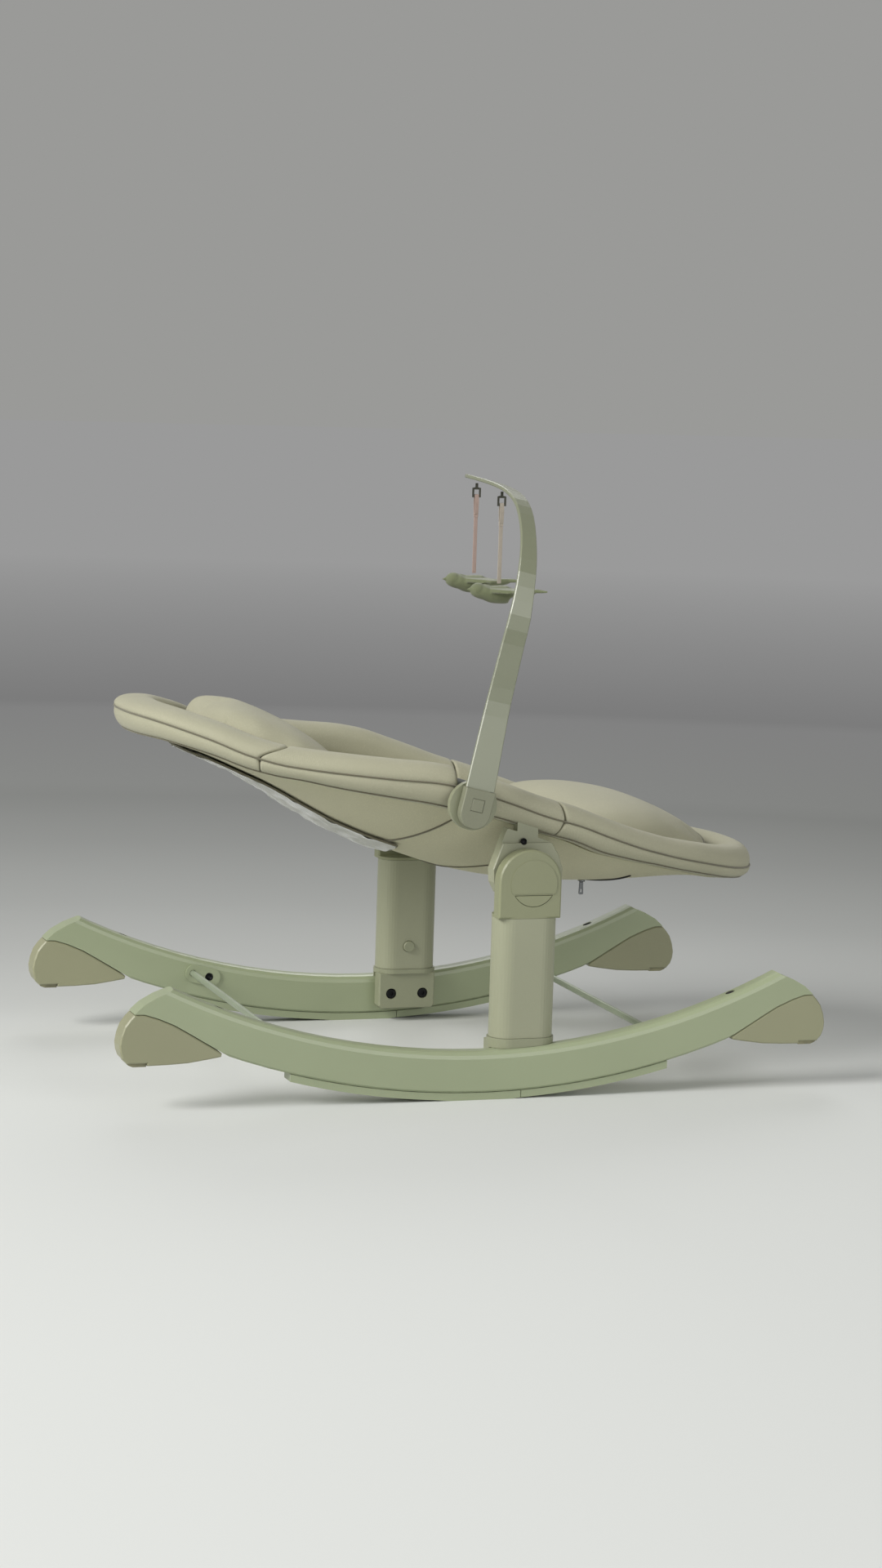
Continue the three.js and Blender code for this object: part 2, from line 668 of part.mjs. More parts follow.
function barLoop(point, tangent, width) {
  const t = barThickness / 2;
  const half = width / 2;
  const outline = [
    [-half, -t + 1], [-half + 1, -t], [half - 1, -t], [half, -t + 1],
    [half, t - 1], [half - 1, t], [-half + 1, t], [-half, t - 1],
  ];
  return outline.map(([u, v]) => [u, point.y - tangent.z * v, point.z + tangent.y * v]);
}
const upright = new THREE.Vector3(0, 0, 1);
const barLoops = [[-14, 27], [21.3, 27], [21.4, 37]].map(
  ([s, width]) => barLoop(new THREE.Vector3(0, -258.2, s), upright, width),
);
const barSteps = 34;
for (let i = 1; i <= barSteps; i += 1) {
  const point = barCurve.getPointAt(i / barSteps);
  const tangent = barCurve.getTangentAt(i / barSteps);
  barLoops.push(barLoop(point, tangent, along(barWidth, point.z) - (i === barSteps ? 6 : 0)));
}
add("toy_arch", loft(barLoops), greenPlastic, toyBar);

// Hanging toys: a hook under the bar, a ribbon looped through it, and a bird with a forked tail.
const lean = THREE.MathUtils.degToRad(barLean);
toyY.forEach((y, i) => {
  const tag = ["far", "near"][i];
  const barS = along([[-112, 380], [-60, 386], [0, 389.5], [66, 392]], y) - barThickness / 2;
  const x = barX + barS * Math.sin(lean);
  const z = barZ + barS * Math.cos(lean) - 3.2;
  const hookShape = shapeOf([
    [x - 1.5, z], [x - 1.5, z - 5], [x - 5.5, z - 6], [x - 5.5, z - 18], [x + 5.5, z - 18],
    [x + 5.5, z - 6], [x + 1.5, z - 5], [x + 1.5, z],
  ]);
  hookShape.holes.push(new THREE.Path([
    [x - 3.5, z - 8], [x - 3.5, z - 16], [x + 3.5, z - 16], [x + 3.5, z - 8],
  ].map(([u, v]) => new THREE.Vector2(u, v))));
  add(`toy_hook_${tag}`, slab(hookShape, y - 1.2, y + 1.2), blackSteel);

  const top = z - 13.8;
  const ribbonShape = new THREE.Shape();
  ribbonShape.absarc(0, -3.2, 3.2, 0, Math.PI, false);
  for (const [u, v] of [[-3.2, -23], [-1, -27], [-1, -100], [1, -100], [1, -27], [3.2, -23]]) {
    ribbonShape.lineTo(u, v);
  }
  const eye = new THREE.Path();
  eye.absarc(0, -3.2, 2, 0, Math.PI, false);
  eye.lineTo(-2, -22.4);
  eye.lineTo(2, -22.4);
  ribbonShape.holes.push(eye);
  const strap = new THREE.ExtrudeGeometry(ribbonShape, { depth: 5, bevelEnabled: false, curveSegments: 6 });
  strap.translate(0, 0, -2.5);
  strap.rotateX(Math.PI / 2);
  strap.rotateZ(Math.PI / 2);
  strap.translate(x, y, top);
  add(`toy_strap_${tag}`, strap, ribbon);

  const bodyTop = top - 100.4;
  const sections = [
    [-43, 0.8, 0.8, -9], [-38, 3, 3, -9], [-34, 7, 7, -8.5], [-28, 9.5, 9, -8], [-21, 9, 8.4, -9.5],
    [-14, 10.5, 9.5, -12], [-4, 13, 12, -13.5], [8, 14, 13, -14], [20, 12, 11, -13], [32, 8, 7.5, -11],
    [42, 5, 4, -9.5], [48, 3.5, 2.5, -9],
  ];
  const body = loft(sections.map(([dx, w, h, dz]) => Array.from({ length: 12 }, (_, k) => {
    const t = k / 12 * Math.PI * 2;
    return [x + dx, y + w * Math.cos(t), bodyTop + dz + h * Math.sin(t)];
  })));
  const flat = (points, thickness, z0) => {
    const sheet = new THREE.ExtrudeGeometry(shapeOf(points), { depth: thickness, bevelEnabled: false });
    sheet.translate(x, y, z0);
    return sheet;
  };
  const wings = flat([
    [-14, -8], [-6, -22], [9, -34], [22, -40], [19, -30], [20, -16], [24, 0], [20, 16], [19, 30],
    [22, 40], [9, 34], [-6, 22], [-14, 8],
  ], 4, bodyTop - 11);
  const tail = flat([[40, -3], [62, -14], [56, -4], [52, 0], [56, 4], [62, 14], [40, 3]], 3, bodyTop - 11);
  const dent = block(x - 4, x + 4, y - 2, y + 2, bodyTop - 0.35, bodyTop + 9);
  add(`toy_bird_${tag}`, cut(join(body, wings, tail), dent), felt);
});

export default swing;
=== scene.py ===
import math

import bpy
from mathutils import Matrix, Vector


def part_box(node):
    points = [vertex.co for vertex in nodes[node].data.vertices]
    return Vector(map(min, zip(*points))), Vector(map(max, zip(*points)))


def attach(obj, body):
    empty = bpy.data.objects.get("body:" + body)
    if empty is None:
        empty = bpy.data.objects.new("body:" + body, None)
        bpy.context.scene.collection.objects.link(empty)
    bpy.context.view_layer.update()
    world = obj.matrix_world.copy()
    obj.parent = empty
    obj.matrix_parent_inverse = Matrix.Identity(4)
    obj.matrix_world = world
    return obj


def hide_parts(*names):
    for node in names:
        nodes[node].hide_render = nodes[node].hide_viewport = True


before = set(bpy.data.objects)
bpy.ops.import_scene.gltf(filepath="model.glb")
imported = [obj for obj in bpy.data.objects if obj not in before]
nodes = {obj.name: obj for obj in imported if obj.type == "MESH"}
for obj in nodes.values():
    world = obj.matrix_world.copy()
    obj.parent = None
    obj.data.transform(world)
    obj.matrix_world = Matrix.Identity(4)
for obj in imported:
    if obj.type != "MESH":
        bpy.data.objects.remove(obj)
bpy.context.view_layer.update()        # the imported nodes, baked in place
scene = bpy.context.scene
scene.view_settings.view_transform = "Standard"
mm = 0.001
print("frame loaded:", len(nodes), "nodes")


# Camera
camera = {
    "place": (-1.3675, -4.2200, 0.9136),
    "right": (0.95045, -0.30930, 0.03153),
    "up": (0.00912, 0.12909, 0.99159),
    "lens": 80.66,
}


def makeCamera(s):
    right, up = Vector(s["right"]), Vector(s["up"])
    turn = Matrix((right, up, right.cross(up))).transposed()
    data = bpy.data.cameras.new("camera")
    data.lens = s["lens"]
    data.clip_end = 60
    made = bpy.data.objects.new("camera", data)
    made.matrix_world = Matrix.Translation(Vector(s["place"])) @ turn.to_4x4()
    scene.collection.objects.link(made)
    scene.camera = made


makeCamera(camera)


# Modelling helpers
def deselectAll():
    for o in bpy.context.selected_objects:
        o.select_set(False)


def justThis(piece):
    deselectAll()
    piece.select_set(True)
    bpy.context.view_layer.objects.active = piece


def started(name):
    # the primitive that an operator has just added, named and alone in the selection
    piece = bpy.context.object
    piece.name = name
    justThis(piece)
    return piece


def editStart(piece, kind="VERT"):
    justThis(piece)
    bpy.ops.object.mode_set(mode="EDIT")
    bpy.ops.mesh.select_mode(type=kind)
    bpy.ops.mesh.select_all(action="DESELECT")


def pick(piece, test, kind="VERT"):
    # selects the vertices, edges or faces whose middle passes the test
    bpy.ops.object.mode_set(mode="OBJECT")
    mesh = piece.data
    for part in (mesh.polygons, mesh.edges, mesh.vertices):
        part.foreach_set("select", [False] * len(part))
    if kind == "FACE":
        for f in mesh.polygons:
            f.select = test(f.center, f.normal)
    elif kind == "EDGE":
        for e in mesh.edges:
            a, b = (mesh.vertices[i].co for i in e.vertices)
            e.select = test((a + b) / 2, (b - a).normalized())
    else:
        for v in mesh.vertices:
            v.select = test(v.co, None)
    bpy.ops.object.mode_set(mode="EDIT")
    bpy.ops.mesh.select_mode(type=kind)


def pickedMiddle(piece):
    # the middle of the selected vertices, in edit mode
    bpy.ops.object.mode_set(mode="OBJECT")
    found = [v.co.copy() for v in piece.data.vertices if v.select]
    bpy.ops.object.mode_set(mode="EDIT")
    return sum(found, Vector()) / len(found)


def editEnd():
    bpy.ops.object.mode_set(mode="OBJECT")


def applied(piece, kind, **values):
    justThis(piece)
    modifier = piece.modifiers.new(kind.lower(), kind)
    for key, value in values.items():
        setattr(modifier, key, value)
    bpy.ops.object.modifier_apply(modifier=modifier.name)
    return piece


def subdivided(piece, levels=1):
    return applied(piece, "SUBSURF", levels=levels, render_levels=levels)


def smoothed(piece, angle=None):
    justThis(piece)
    if angle is None:
        bpy.ops.object.shade_smooth()
    else:
        bpy.ops.object.shade_smooth_by_angle(angle=math.radians(angle))
    return piece


def placed(piece):
    # the object's place and turn go into its mesh
    justThis(piece)
    bpy.ops.object.transform_apply(location=True, rotation=True, scale=True)
    return piece


def joined(name, pieces):
    deselectAll()
    for p in pieces:
        p.select_set(True)
    bpy.context.view_layer.objects.active = pieces[0]
    bpy.ops.object.join()
    return started(name)


def outwards(piece):
    editStart(piece)
    bpy.ops.mesh.select_all(action="SELECT")
    bpy.ops.mesh.remove_doubles(threshold=1e-6)
    bpy.ops.mesh.normals_make_consistent(inside=False)
    editEnd()
    return piece


def finished(piece, material, body, slot, *replaced):
    piece.data.materials.clear()
    piece.data.materials.append(material)
    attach(piece, body)
    if replaced:
        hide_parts(*replaced)
    return piece


def lengths(points):
    run = [0.0]
    for a, b in zip(points, points[1:]):
        run.append(run[-1] + (Vector(b) - Vector(a)).length)
    return run


def gridPiece(name, rows, wrap=False):
    # rows of points joined by quads, with a UV map in metres; wrap joins each row to its own start
    count = len(rows[0])
    points = [tuple(p) for row in rows for p in row]
    faces, corners = [], []
    middle = rows[len(rows) // 2]
    across = lengths(list(middle) + ([middle[0]] if wrap else []))
    along = lengths([row[count // 4] for row in rows])
    steps = count if wrap else count - 1
    for i in range(len(rows) - 1):
        for j in range(steps):
            k = (j + 1) % count
            faces.append((i * count + j, i * count + k, (i + 1) * count + k, (i + 1) * count + j))
            corners += [
                (along[i], across[j]), (along[i], across[j + 1]),
                (along[i + 1], across[j + 1]), (along[i + 1], across[j]),
            ]
    mesh = bpy.data.meshes.new(name)
    mesh.from_pydata(points, [], faces)
    layer = mesh.uv_layers.new(name="cloth")
    layer.data.foreach_set("uv", [c for pair in corners for c in pair])
    piece = bpy.data.objects.new(name, mesh)
    scene.collection.objects.link(piece)
    return piece


def inflate(piece, pinned, s):
    # blows the cloth up a little between its seams, and keeps the result
    justThis(piece)
    rest = [v.co.copy() for v in piece.data.vertices]
    group = piece.vertex_groups.new(name="seams")
    group.add(pinned, 1.0, "REPLACE")
    cloth = piece.modifiers.new("cloth", "CLOTH")
    cloth.settings.quality = 5
    cloth.settings.mass = 0.3
    cloth.settings.use_pressure = True
    cloth.settings.uniform_pressure_force = s["pressure"]
    cloth.settings.effector_weights.gravity = 0
    cloth.settings.vertex_group_mass = "seams"
    cloth.collision_settings.use_collision = False
    cloth.point_cache.frame_end = s["frames"]
    for number in range(1, s["frames"] + 1):
        scene.frame_set(number)
    bpy.ops.object.modifier_apply(modifier="cloth")
    furthest = 0.0
    for v, before in zip(piece.data.vertices, rest):
        move = v.co - before
        furthest = max(furthest, move.length)
        if move.length > s["cap"]:
            v.co = before + move.normalized() * s["cap"]
    scene.frame_set(1)
    piece.vertex_groups.clear()
    print(piece.name, "inflated, furthest move", round(furthest * 1000, 1), "mm")
    return piece


def threadLine(name, points, radius, material, body, slot, closed=False):
    # a sewn cord or thread along points, as a mesh tube
    data = bpy.data.curves.new(name, "CURVE")
    data.dimensions = "3D"
    spline = data.splines.new("POLY")
    spline.points.add(len(points) - 1)
    for target, p in zip(spline.points, points):
        target.co = (*p, 1)
    spline.use_cyclic_u = closed
    data.bevel_depth = radius
    data.bevel_resolution = 2
    data.use_fill_caps = True
    piece = bpy.data.objects.new(name, data)
    scene.collection.objects.link(piece)
    justThis(piece)
    bpy.ops.object.convert(target="MESH")
    piece = started(name)
    smoothed(piece, 60)
    return finished(piece, material, body, slot)


# Shader helper: a wrapped socket, so that shader maths reads as plain expressions
class Shade:
    def __init__(self, tree, out=None):
        self.tree = tree
        self.out = out

    def node(self, kind, settings, sockets, output=0):
        made = self.tree.nodes.new(kind)
        for key, value in settings.items():
            if key == "stops":
                ends = made.color_ramp.elements
                ends[0].position, ends[0].color = value[0][0], (*value[0][1], 1)
                ends[1].position, ends[1].color = value[-1][0], (*value[-1][1], 1)
                for at, colour in value[1:-1]:
                    ends.new(at).color = (*colour, 1)
            else:
                setattr(made, key, value)
        for key, value in sockets.items():
            if isinstance(value, Shade):
                self.tree.links.new(value.out, made.inputs[key])
            else:
                made.inputs[key].default_value = value
        return Shade(self.tree, made.outputs[output])

    def maths(self, operation, *values):
        return self.node("ShaderNodeMath", {"operation": operation}, dict(enumerate(values)))

    def __add__(self, other):
        return self.maths("ADD", self, other)

    def __sub__(self, other):
        return self.maths("SUBTRACT", self, other)

    def __mul__(self, other):
        return self.maths("MULTIPLY", self, other)

    def __truediv__(self, other):
        return self.maths("DIVIDE", self, other)

    def __rsub__(self, other):
        return self.maths("SUBTRACT", other, self)

    __radd__ = __add__
    __rmul__ = __mul__

    def sin(self):
        return self.maths("SINE", self)

    def size(self):
        return self.maths("ABSOLUTE", self)

    def above(self, level, soft):
        # 0 below the level, 1 above it, with a soft step
        return self.node("ShaderNodeMapRange", {"interpolation_type": "SMOOTHSTEP"}, {
            "Value": self, "From Min": level - soft, "From Max": level + soft})

    def blend(self, low, high):
        # a colour between two, by this value
        return self.node("ShaderNodeMix", {"data_type": "RGBA"}, {
            "Factor": self, "A": tuple4(low), "B": tuple4(high)}, 2)


def tuple4(colour):
    return colour if isinstance(colour, Shade) else (*colour, 1)


def linear(r, g, b):
    # an sRGB colour from 0 to 255 as scene-linear
    def one(c):
        c /= 255
        return c / 12.92 if c < 0.04045 else ((c + 0.055) / 1.055) ** 2.4
    return one(r), one(g), one(b)


def tinted(colour, by):
    return tuple(min(1.0, c * by) for c in colour)


class Finish(Shade):
    # a material under way: its tree, its shader and its coordinates
    def __init__(self, name):
        self.material = bpy.data.materials.new(name)
        self.material.use_nodes = True
        super().__init__(self.material.node_tree)
        self.shader = self.tree.nodes["Principled BSDF"]

    def place(self):
        return self.node("ShaderNodeTexCoord", {}, {}, 3)

    def cloth(self):
        return self.node("ShaderNodeUVMap", {"uv_map": "cloth"}, {})

    def split(self, vector):
        return [self.node("ShaderNodeSeparateXYZ", {}, {0: vector}, i) for i in range(3)]

    def noise(self, at, scale, detail=3.0, rough=0.5):
        return self.node("ShaderNodeTexNoise", {}, {
            "Vector": at, "Scale": scale, "Detail": detail, "Roughness": rough})

    def bump(self, height, strength, distance):
        return self.node("ShaderNodeBump", {}, {
            "Height": height, "Strength": strength, "Distance": distance})

    def done(self, **sockets):
        for key, value in sockets.items():
            socket = self.shader.inputs[key.replace("_", " ")]
            if isinstance(value, Shade):
                self.tree.links.new(value.out, socket)
            else:
                socket.default_value = value
        return self.material


def mouldedPlastic(name, colour, s):
    f = Finish(name)
    at = f.place()
    cloud = f.noise(at, s["cloudScale"], 2.0)
    grain = f.noise(at, s["grainScale"], 2.0, 0.6)
    flow = f.noise(at, 40.0, 4.0)
    base = cloud.above(0.5, 0.25).blend(tinted(colour, 0.96), tinted(colour, 1.03))
    base = grain.above(0.62, 0.2).blend(base, tinted(colour, 1.06))
    rough = s["rough"] - 0.03 + cloud * 0.05 + (flow - 0.5) * 0.04
    height = grain * 0.7 + flow * 0.3
    return f.done(
        Base_Color=base, Roughness=rough, Normal=f.bump(height, s["bump"], 0.0004),
        Specular_IOR_Level=s.get("specular", 0.5), Coat_Weight=s.get("coat", 0.0), Coat_Roughness=0.25)


def wovenCloth(name, colour, s):
    f = Finish(name)
    u, v, _ = f.split(f.cloth())
    turn = 2 * math.pi / s["thread"]
    weave = (u * turn).sin() * (v * turn).sin()
    at = f.place()
    soft = f.noise(at, s["creaseScale"], 3.0)
    fleck = f.noise(at, 900.0, 2.0, 0.7)
    cloud = f.noise(at, 9.0, 3.0)
    base = cloud.above(0.5, 0.2).blend(tinted(colour, 0.95), tinted(colour, 1.04))
    base = (weave * 0.5 + 0.5).above(0.35, 0.3).blend(tinted(colour, 0.86), base)
    base = fleck.above(0.6, 0.1).blend(base, tinted(colour, 1.12))
    fine = f.bump(weave * 0.6 + fleck * 0.8, s["weave"], 0.0003)
    crease = f.node("ShaderNodeBump", {}, {
        "Height": soft, "Strength": s["crease"], "Distance": 0.004, "Normal": fine})
    return f.done(
        Base_Color=base, Roughness=0.88 - cloud * 0.08, Normal=crease,
        Sheen_Weight=s["sheen"], Sheen_Roughness=0.45, Specular_IOR_Level=0.2)


def netCloth(name, colour, dark, s):
    f = Finish(name)
    u, v, _ = f.split(f.cloth())
    turn = 2 * math.pi / s["hole"]
    cell = (u * turn).sin() * (v * turn).sin()
    holes = cell.size().above(0.62, 0.16)
    at = f.place()
    cloud = f.noise(at, 30.0, 4.0)
    base = cloud.above(0.52, 0.12).blend(tinted(colour, 0.8), tinted(colour, 1.25))
    # the holes are painted the dark colour, as painted shade seen through the openings
    base = holes.blend(base, dark)
    crumple = f.node("ShaderNodeBump", {}, {
        "Height": f.noise(at, 60.0, 5.0), "Strength": 0.55, "Distance": 0.004,
        "Normal": f.bump(1 - holes, 0.7, 0.0008)})
    return f.done(
        Base_Color=base, Roughness=0.62 - cloud * 0.2, Normal=crumple, Sheen_Weight=0.2)


def feltCloth(name, colour):
    f = Finish(name)
    at = f.place()
    fuzz = f.noise(at, 1400.0, 4.0, 0.75)
    patch = f.noise(at, 60.0, 3.0)
    base = patch.above(0.5, 0.2).blend(tinted(colour, 0.86), tinted(colour, 1.1))
    base = fuzz.above(0.55, 0.15).blend(tinted(colour, 0.8), base)
    return f.done(
        Base_Color=base, Roughness=0.93 - patch * 0.05, Normal=f.bump(fuzz, 0.8, 0.0006),
        Sheen_Weight=0.35, Sheen_Roughness=0.6, Specular_IOR_Level=0.15)


def ribbonCloth(name, colour):
    f = Finish(name)
    x, y, z = f.split(f.place())
    ribs = (z * (2 * math.pi / 0.0011)).sin()
    fleck = f.noise(f.place(), 800.0)
    base = (ribs * 0.5 + fleck * 0.6).above(0.35, 0.4).blend(tinted(colour, 0.82), tinted(colour, 1.06))
    return f.done(
        Base_Color=base, Roughness=0.72 + fleck * 0.1, Normal=f.bump(ribs + fleck, 0.5, 0.0003),
        Sheen_Weight=0.25)


def metal(name, colour, rough, metallic=1.0, grain=0.25):
    f = Finish(name)
    at = f.place()
    streak = f.noise(at, 220.0, 4.0)
    smudge = f.noise(at, 18.0, 3.0)
    base = smudge.above(0.5, 0.25).blend(tinted(colour, 0.9), tinted(colour, 1.05))
    return f.done(
        Base_Color=base, Metallic=metallic, Roughness=rough + (streak - 0.5) * 0.12 + smudge * 0.05,
        Normal=f.bump(streak, grain, 0.0002))


def rubberLike(name, colour):
    f = Finish(name)
    at = f.place()
    pits = f.noise(at, 700.0, 3.0, 0.7)
    dust = f.noise(at, 40.0, 4.0)
    base = dust.above(0.56, 0.12).blend(colour, tinted(colour, 1.5))
    return f.done(Base_Color=base, Roughness=0.75 + dust * 0.15, Normal=f.bump(pits, 0.5, 0.0004))


colours = {
    "runner": linear(154, 163, 132),
    "khaki": linear(152, 154, 130),
    "stopper": linear(147, 147, 118),
    "bar": linear(127, 131, 108),
    "shoe": linear(142, 145, 120),
    "hub": linear(138, 141, 111),
    "clip": linear(130, 132, 111),
    "seat": linear(173, 171, 148),
    "sling": linear(198, 195, 167),
    # piping and seam cords are painted darker than the cloth, as painted shade of the seam grooves
    "piping": linear(112, 108, 86),
    "net": linear(240, 240, 233),
    "bird": linear(120, 127, 94),
    "pink": linear(182, 158, 148),
    "cream": linear(182, 172, 158),
}
moulded = {"cloudScale": 7.0, "grainScale": 1500.0, "rough": 0.42, "bump": 0.25}
satin = {"cloudScale": 5.0, "grainScale": 1800.0, "rough": 0.36, "bump": 0.16, "coat": 0.12}
glossy = {"cloudScale": 5.0, "grainScale": 1800.0, "rough": 0.3, "bump": 0.1, "coat": 0.3}
knit = {"thread": 0.0016, "weave": 0.5, "crease": 0.28, "creaseScale": 16.0, "sheen": 0.12}
lining = {"thread": 0.0019, "weave": 0.6, "crease": 0.34, "creaseScale": 11.0, "sheen": 0.08}

runnerFinish = mouldedPlastic("runnerPlastic", colours["runner"], satin)
khakiFinish = mouldedPlastic("khakiPlastic", colours["khaki"], moulded)
shoeFinish = mouldedPlastic("shoePlastic", colours["shoe"], moulded)
stopperFinish = mouldedPlastic("stopperPlastic", colours["stopper"], moulded)
hubFinish = mouldedPlastic("hubPlastic", colours["hub"], moulded)
clipFinish = mouldedPlastic("clipPlastic", colours["clip"], moulded)
barFinish = mouldedPlastic("barPlastic", colours["bar"], glossy)
seatFinish = wovenCloth("seatFabric", colours["seat"], knit)
slingFinish = wovenCloth("slingFabric", colours["sling"], lining)
# the cords' dark colour is painted shade of the seam grooves
pipingShadeFinish = feltCloth("piping", colours["piping"])
# the second colour is painted shade for the mesh's holes
netFinish = netCloth("meshFabric", colours["net"], linear(132, 132, 124), {"hole": 0.0034})
birdFinish = feltCloth("birdFelt", colours["bird"])
farRibbon = ribbonCloth("farRibbon", colours["pink"])
nearRibbon = ribbonCloth("nearRibbon", colours["cream"])
hookFinish = metal("hookMetal", linear(66, 66, 56), 0.4, 0.5)
blackFinish = metal("blackSteel", linear(26, 27, 28), 0.42, 0.7)
rodFinish = metal("rodPaint", linear(150, 160, 138), 0.4, 0.25)
steelFinish = metal("axleSteel", linear(150, 152, 150), 0.32)
tubeFinish = metal("frameTube", linear(160, 162, 160), 0.38)
chromeFinish = metal("chrome", linear(118, 120, 122), 0.24)
padFinish = rubberLike("padRubber", linear(124, 122, 98))
zipFinish = rubberLike("zipTape", linear(36, 35, 32))

nodeFinish = {
    "runner": runnerFinish, "skid": runnerFinish, "rod_plate": runnerFinish, "stopper_pad": padFinish,
    "stopper": stopperFinish, "cross_rod": rodFinish, "shoe_bolt": blackFinish, "shoe": shoeFinish,
    "post_button": shoeFinish, "post": khakiFinish, "hub_button": hubFinish, "hub": hubFinish,
    "axle": steelFinish, "seat_bracket": khakiFinish, "seat_frame": tubeFinish, "zip_pull": chromeFinish,
    "toy_socket": shoeFinish, "toy_clip": clipFinish, "toy_button": clipFinish, "toy_arch": barFinish,
    "toy_hook": hookFinish,
}
for nodeName, node in nodes.items():
    for start, finish in nodeFinish.items():
        if nodeName.startswith(start):
            node.data.materials[0] = finish
            break
print("materials made")


# The seat ring's path and heights, in millimetres
ring = {"centre": 19.5, "halfLength": 417, "halfWidth": 237, "power": 2.35, "rim": 27}
seamHeight = [
    (-404, 451), (-378, 446), (-354, 438), (-322, 427), (-291, 413), (-250, 402), (-202, 396), (-161, 392),
    (-107, 387), (-61, 384), (-20, 377), (9, 367), (44, 356), (87, 341), (137, 328), (180, 312), (225, 297),
    (277, 283), (334, 270), (377, 260), (416, 253), (456, 251),
]
riseAbove = [(-404, 13), (-378, 14), (-350, 16), (-300, 20), (-200, 22), (277, 23), (400, 28), (456, 29)]
dropBelow = [
    (-404, 31), (-378, 26), (-350, 24), (-327, 22), (-271, 19), (-230, 17), (-177, 22), (-100, 27),
    (-46, 32), (-20, 32), (17, 26), (60, 24), (131, 23), (169, 25), (210, 20), (258, 16), (327, 15), (456, 15),
]
slingLow = [
    (-372, 424), (-350, 415), (-300, 398), (-234, 366), (-195, 341), (-149, 313), (-100, 290), (-59, 275),
    (-20, 261), (21, 249), (60, 241), (99, 236), (150, 233), (198, 232), (250, 234), (300, 240), (345, 246),
    (390, 248), (424, 236),
]


def level(table, x):
    if x <= table[0][0]:
        return table[0][1]
    for (x0, v0), (x1, v1) in zip(table, table[1:]):
        if x <= x1:
            return v0 + (v1 - v0) * (x - x0) / (x1 - x0)
    return table[-1][1]


def eased(table, x, reach=16):
    # a table's value with its corners rounded off
    return sum(level(table, x + reach * k / 3) * w for k, w in ((-3, 1), (-1.5, 2), (0, 3), (1.5, 2), (3, 1))) / 9


def signedPower(value, power):
    return math.copysign(abs(value) ** power, value)


def ringStation(angle):
    a = math.radians(angle)
    cx = signedPower(math.cos(a), 2 / ring["power"])
    sy = signedPower(math.sin(a), 2 / ring["power"])
    halfLength = ring["halfLength"] - ring["rim"]
    halfWidth = ring["halfWidth"] - ring["rim"]
    outline = ring["centre"] + ring["halfLength"] * cx
    out = Vector((
        signedPower(cx, ring["power"] - 1) / halfLength, signedPower(sy, ring["power"] - 1) / halfWidth, 0,
    )).normalized()
    middle = Vector((ring["centre"] + halfLength * cx, halfWidth * sy, eased(seamHeight, outline)))
    return {"middle": middle, "out": out, "rise": eased(riseAbove, outline), "drop": eased(dropBelow, outline)}


def ringAngle(x, side):
    cx = (x - ring["centre"]) / (ring["halfLength"] - ring["rim"])
    angle = math.degrees(math.acos(signedPower(cx, ring["power"] / 2)))
    return angle if side > 0 else 360 - angle


# arc length round the ring against angle, so that stations can be spaced evenly
ringTurns = [k * 0.5 - 90 for k in range(1081)]
ringRun = [0.0]
for first, second in zip(ringTurns, ringTurns[1:]):
    step = ringStation(second)["middle"] - ringStation(first)["middle"]
    ringRun.append(ringRun[-1] + step.length)


def runAt(angle):
    return level(list(zip(ringTurns, ringRun)), angle)


turnAtRun = list(zip(ringRun, ringTurns))


def stationAt(run):
    low, high = 0, len(turnAtRun) - 1
    while high - low > 1:
        mid = (low + high) // 2
        if turnAtRun[mid][0] <= run:
            low = mid
        else:
            high = mid
    (r0, a0), (r1, a1) = turnAtRun[low], turnAtRun[high]
    return ringStation(a0 + (a1 - a0) * (run - r0) / (r1 - r0))


# Padded rim covers
rim = {
    "headSeam": -256, "frontSeam": 108, "clip": -16, "clipHalf": 14, "gap": 0.35, "step": 6.5, "lap": 30,
    "groove": 1.5, "skirtTurn": 302, "round": 4.5,
}
swell = {"pressure": 3.0, "cap": 0.0035, "frames": 16}
aroundTurns = [
    0, 3.5, 8, 15, 24, 34, 45, 56, 67, 78, 90, 102, 114, 126, 138, 150, 162, 172, 180, 188, 198, 210, 222,
    234, 246, 258, 270, 281, 291, 298, 302, 306, 313, 322, 332, 342, 350, 356,
]


def rimPoint(station, turn, inset=0.0):
    t = math.radians(turn)
    high = station["rise"] if math.sin(t) > 0 else station["drop"]
    u = ring["rim"] * signedPower(math.cos(t), 0.8)
    h = signedPower(math.sin(t), 0.8) * high
    near = min(turn, 360 - turn)
    dip = rim["groove"] * math.exp(-(near / 5.0) ** 2) + 0.9 * math.exp(-((turn - rim["skirtTurn"]) / 4.0) ** 2)
    reach = math.hypot(u, h)
    keep = max(0.0, 1 - (dip + inset) / reach)
    return (station["middle"] + station["out"] * (u * keep) + Vector((0, 0, h * keep))) * mm


def seamSlant(kind, turn):
    # how far a seam leans towards the foot end at this place round the section, in millimetres
    t = math.radians(turn)
    if kind == "lap":
        if turn <= 90:
            return rim["lap"] * math.sin(t) ** 1.3
        if turn <= 180:
            return rim["lap"]
        return rim["lap"] * max(0.0, 1 - (turn - 180) / 40)
    if kind == "front":
        return -12 * max(0.0, -math.sin(t)) ** 0.7 - 3 * max(0.0, math.sin(t))
    return 0.0


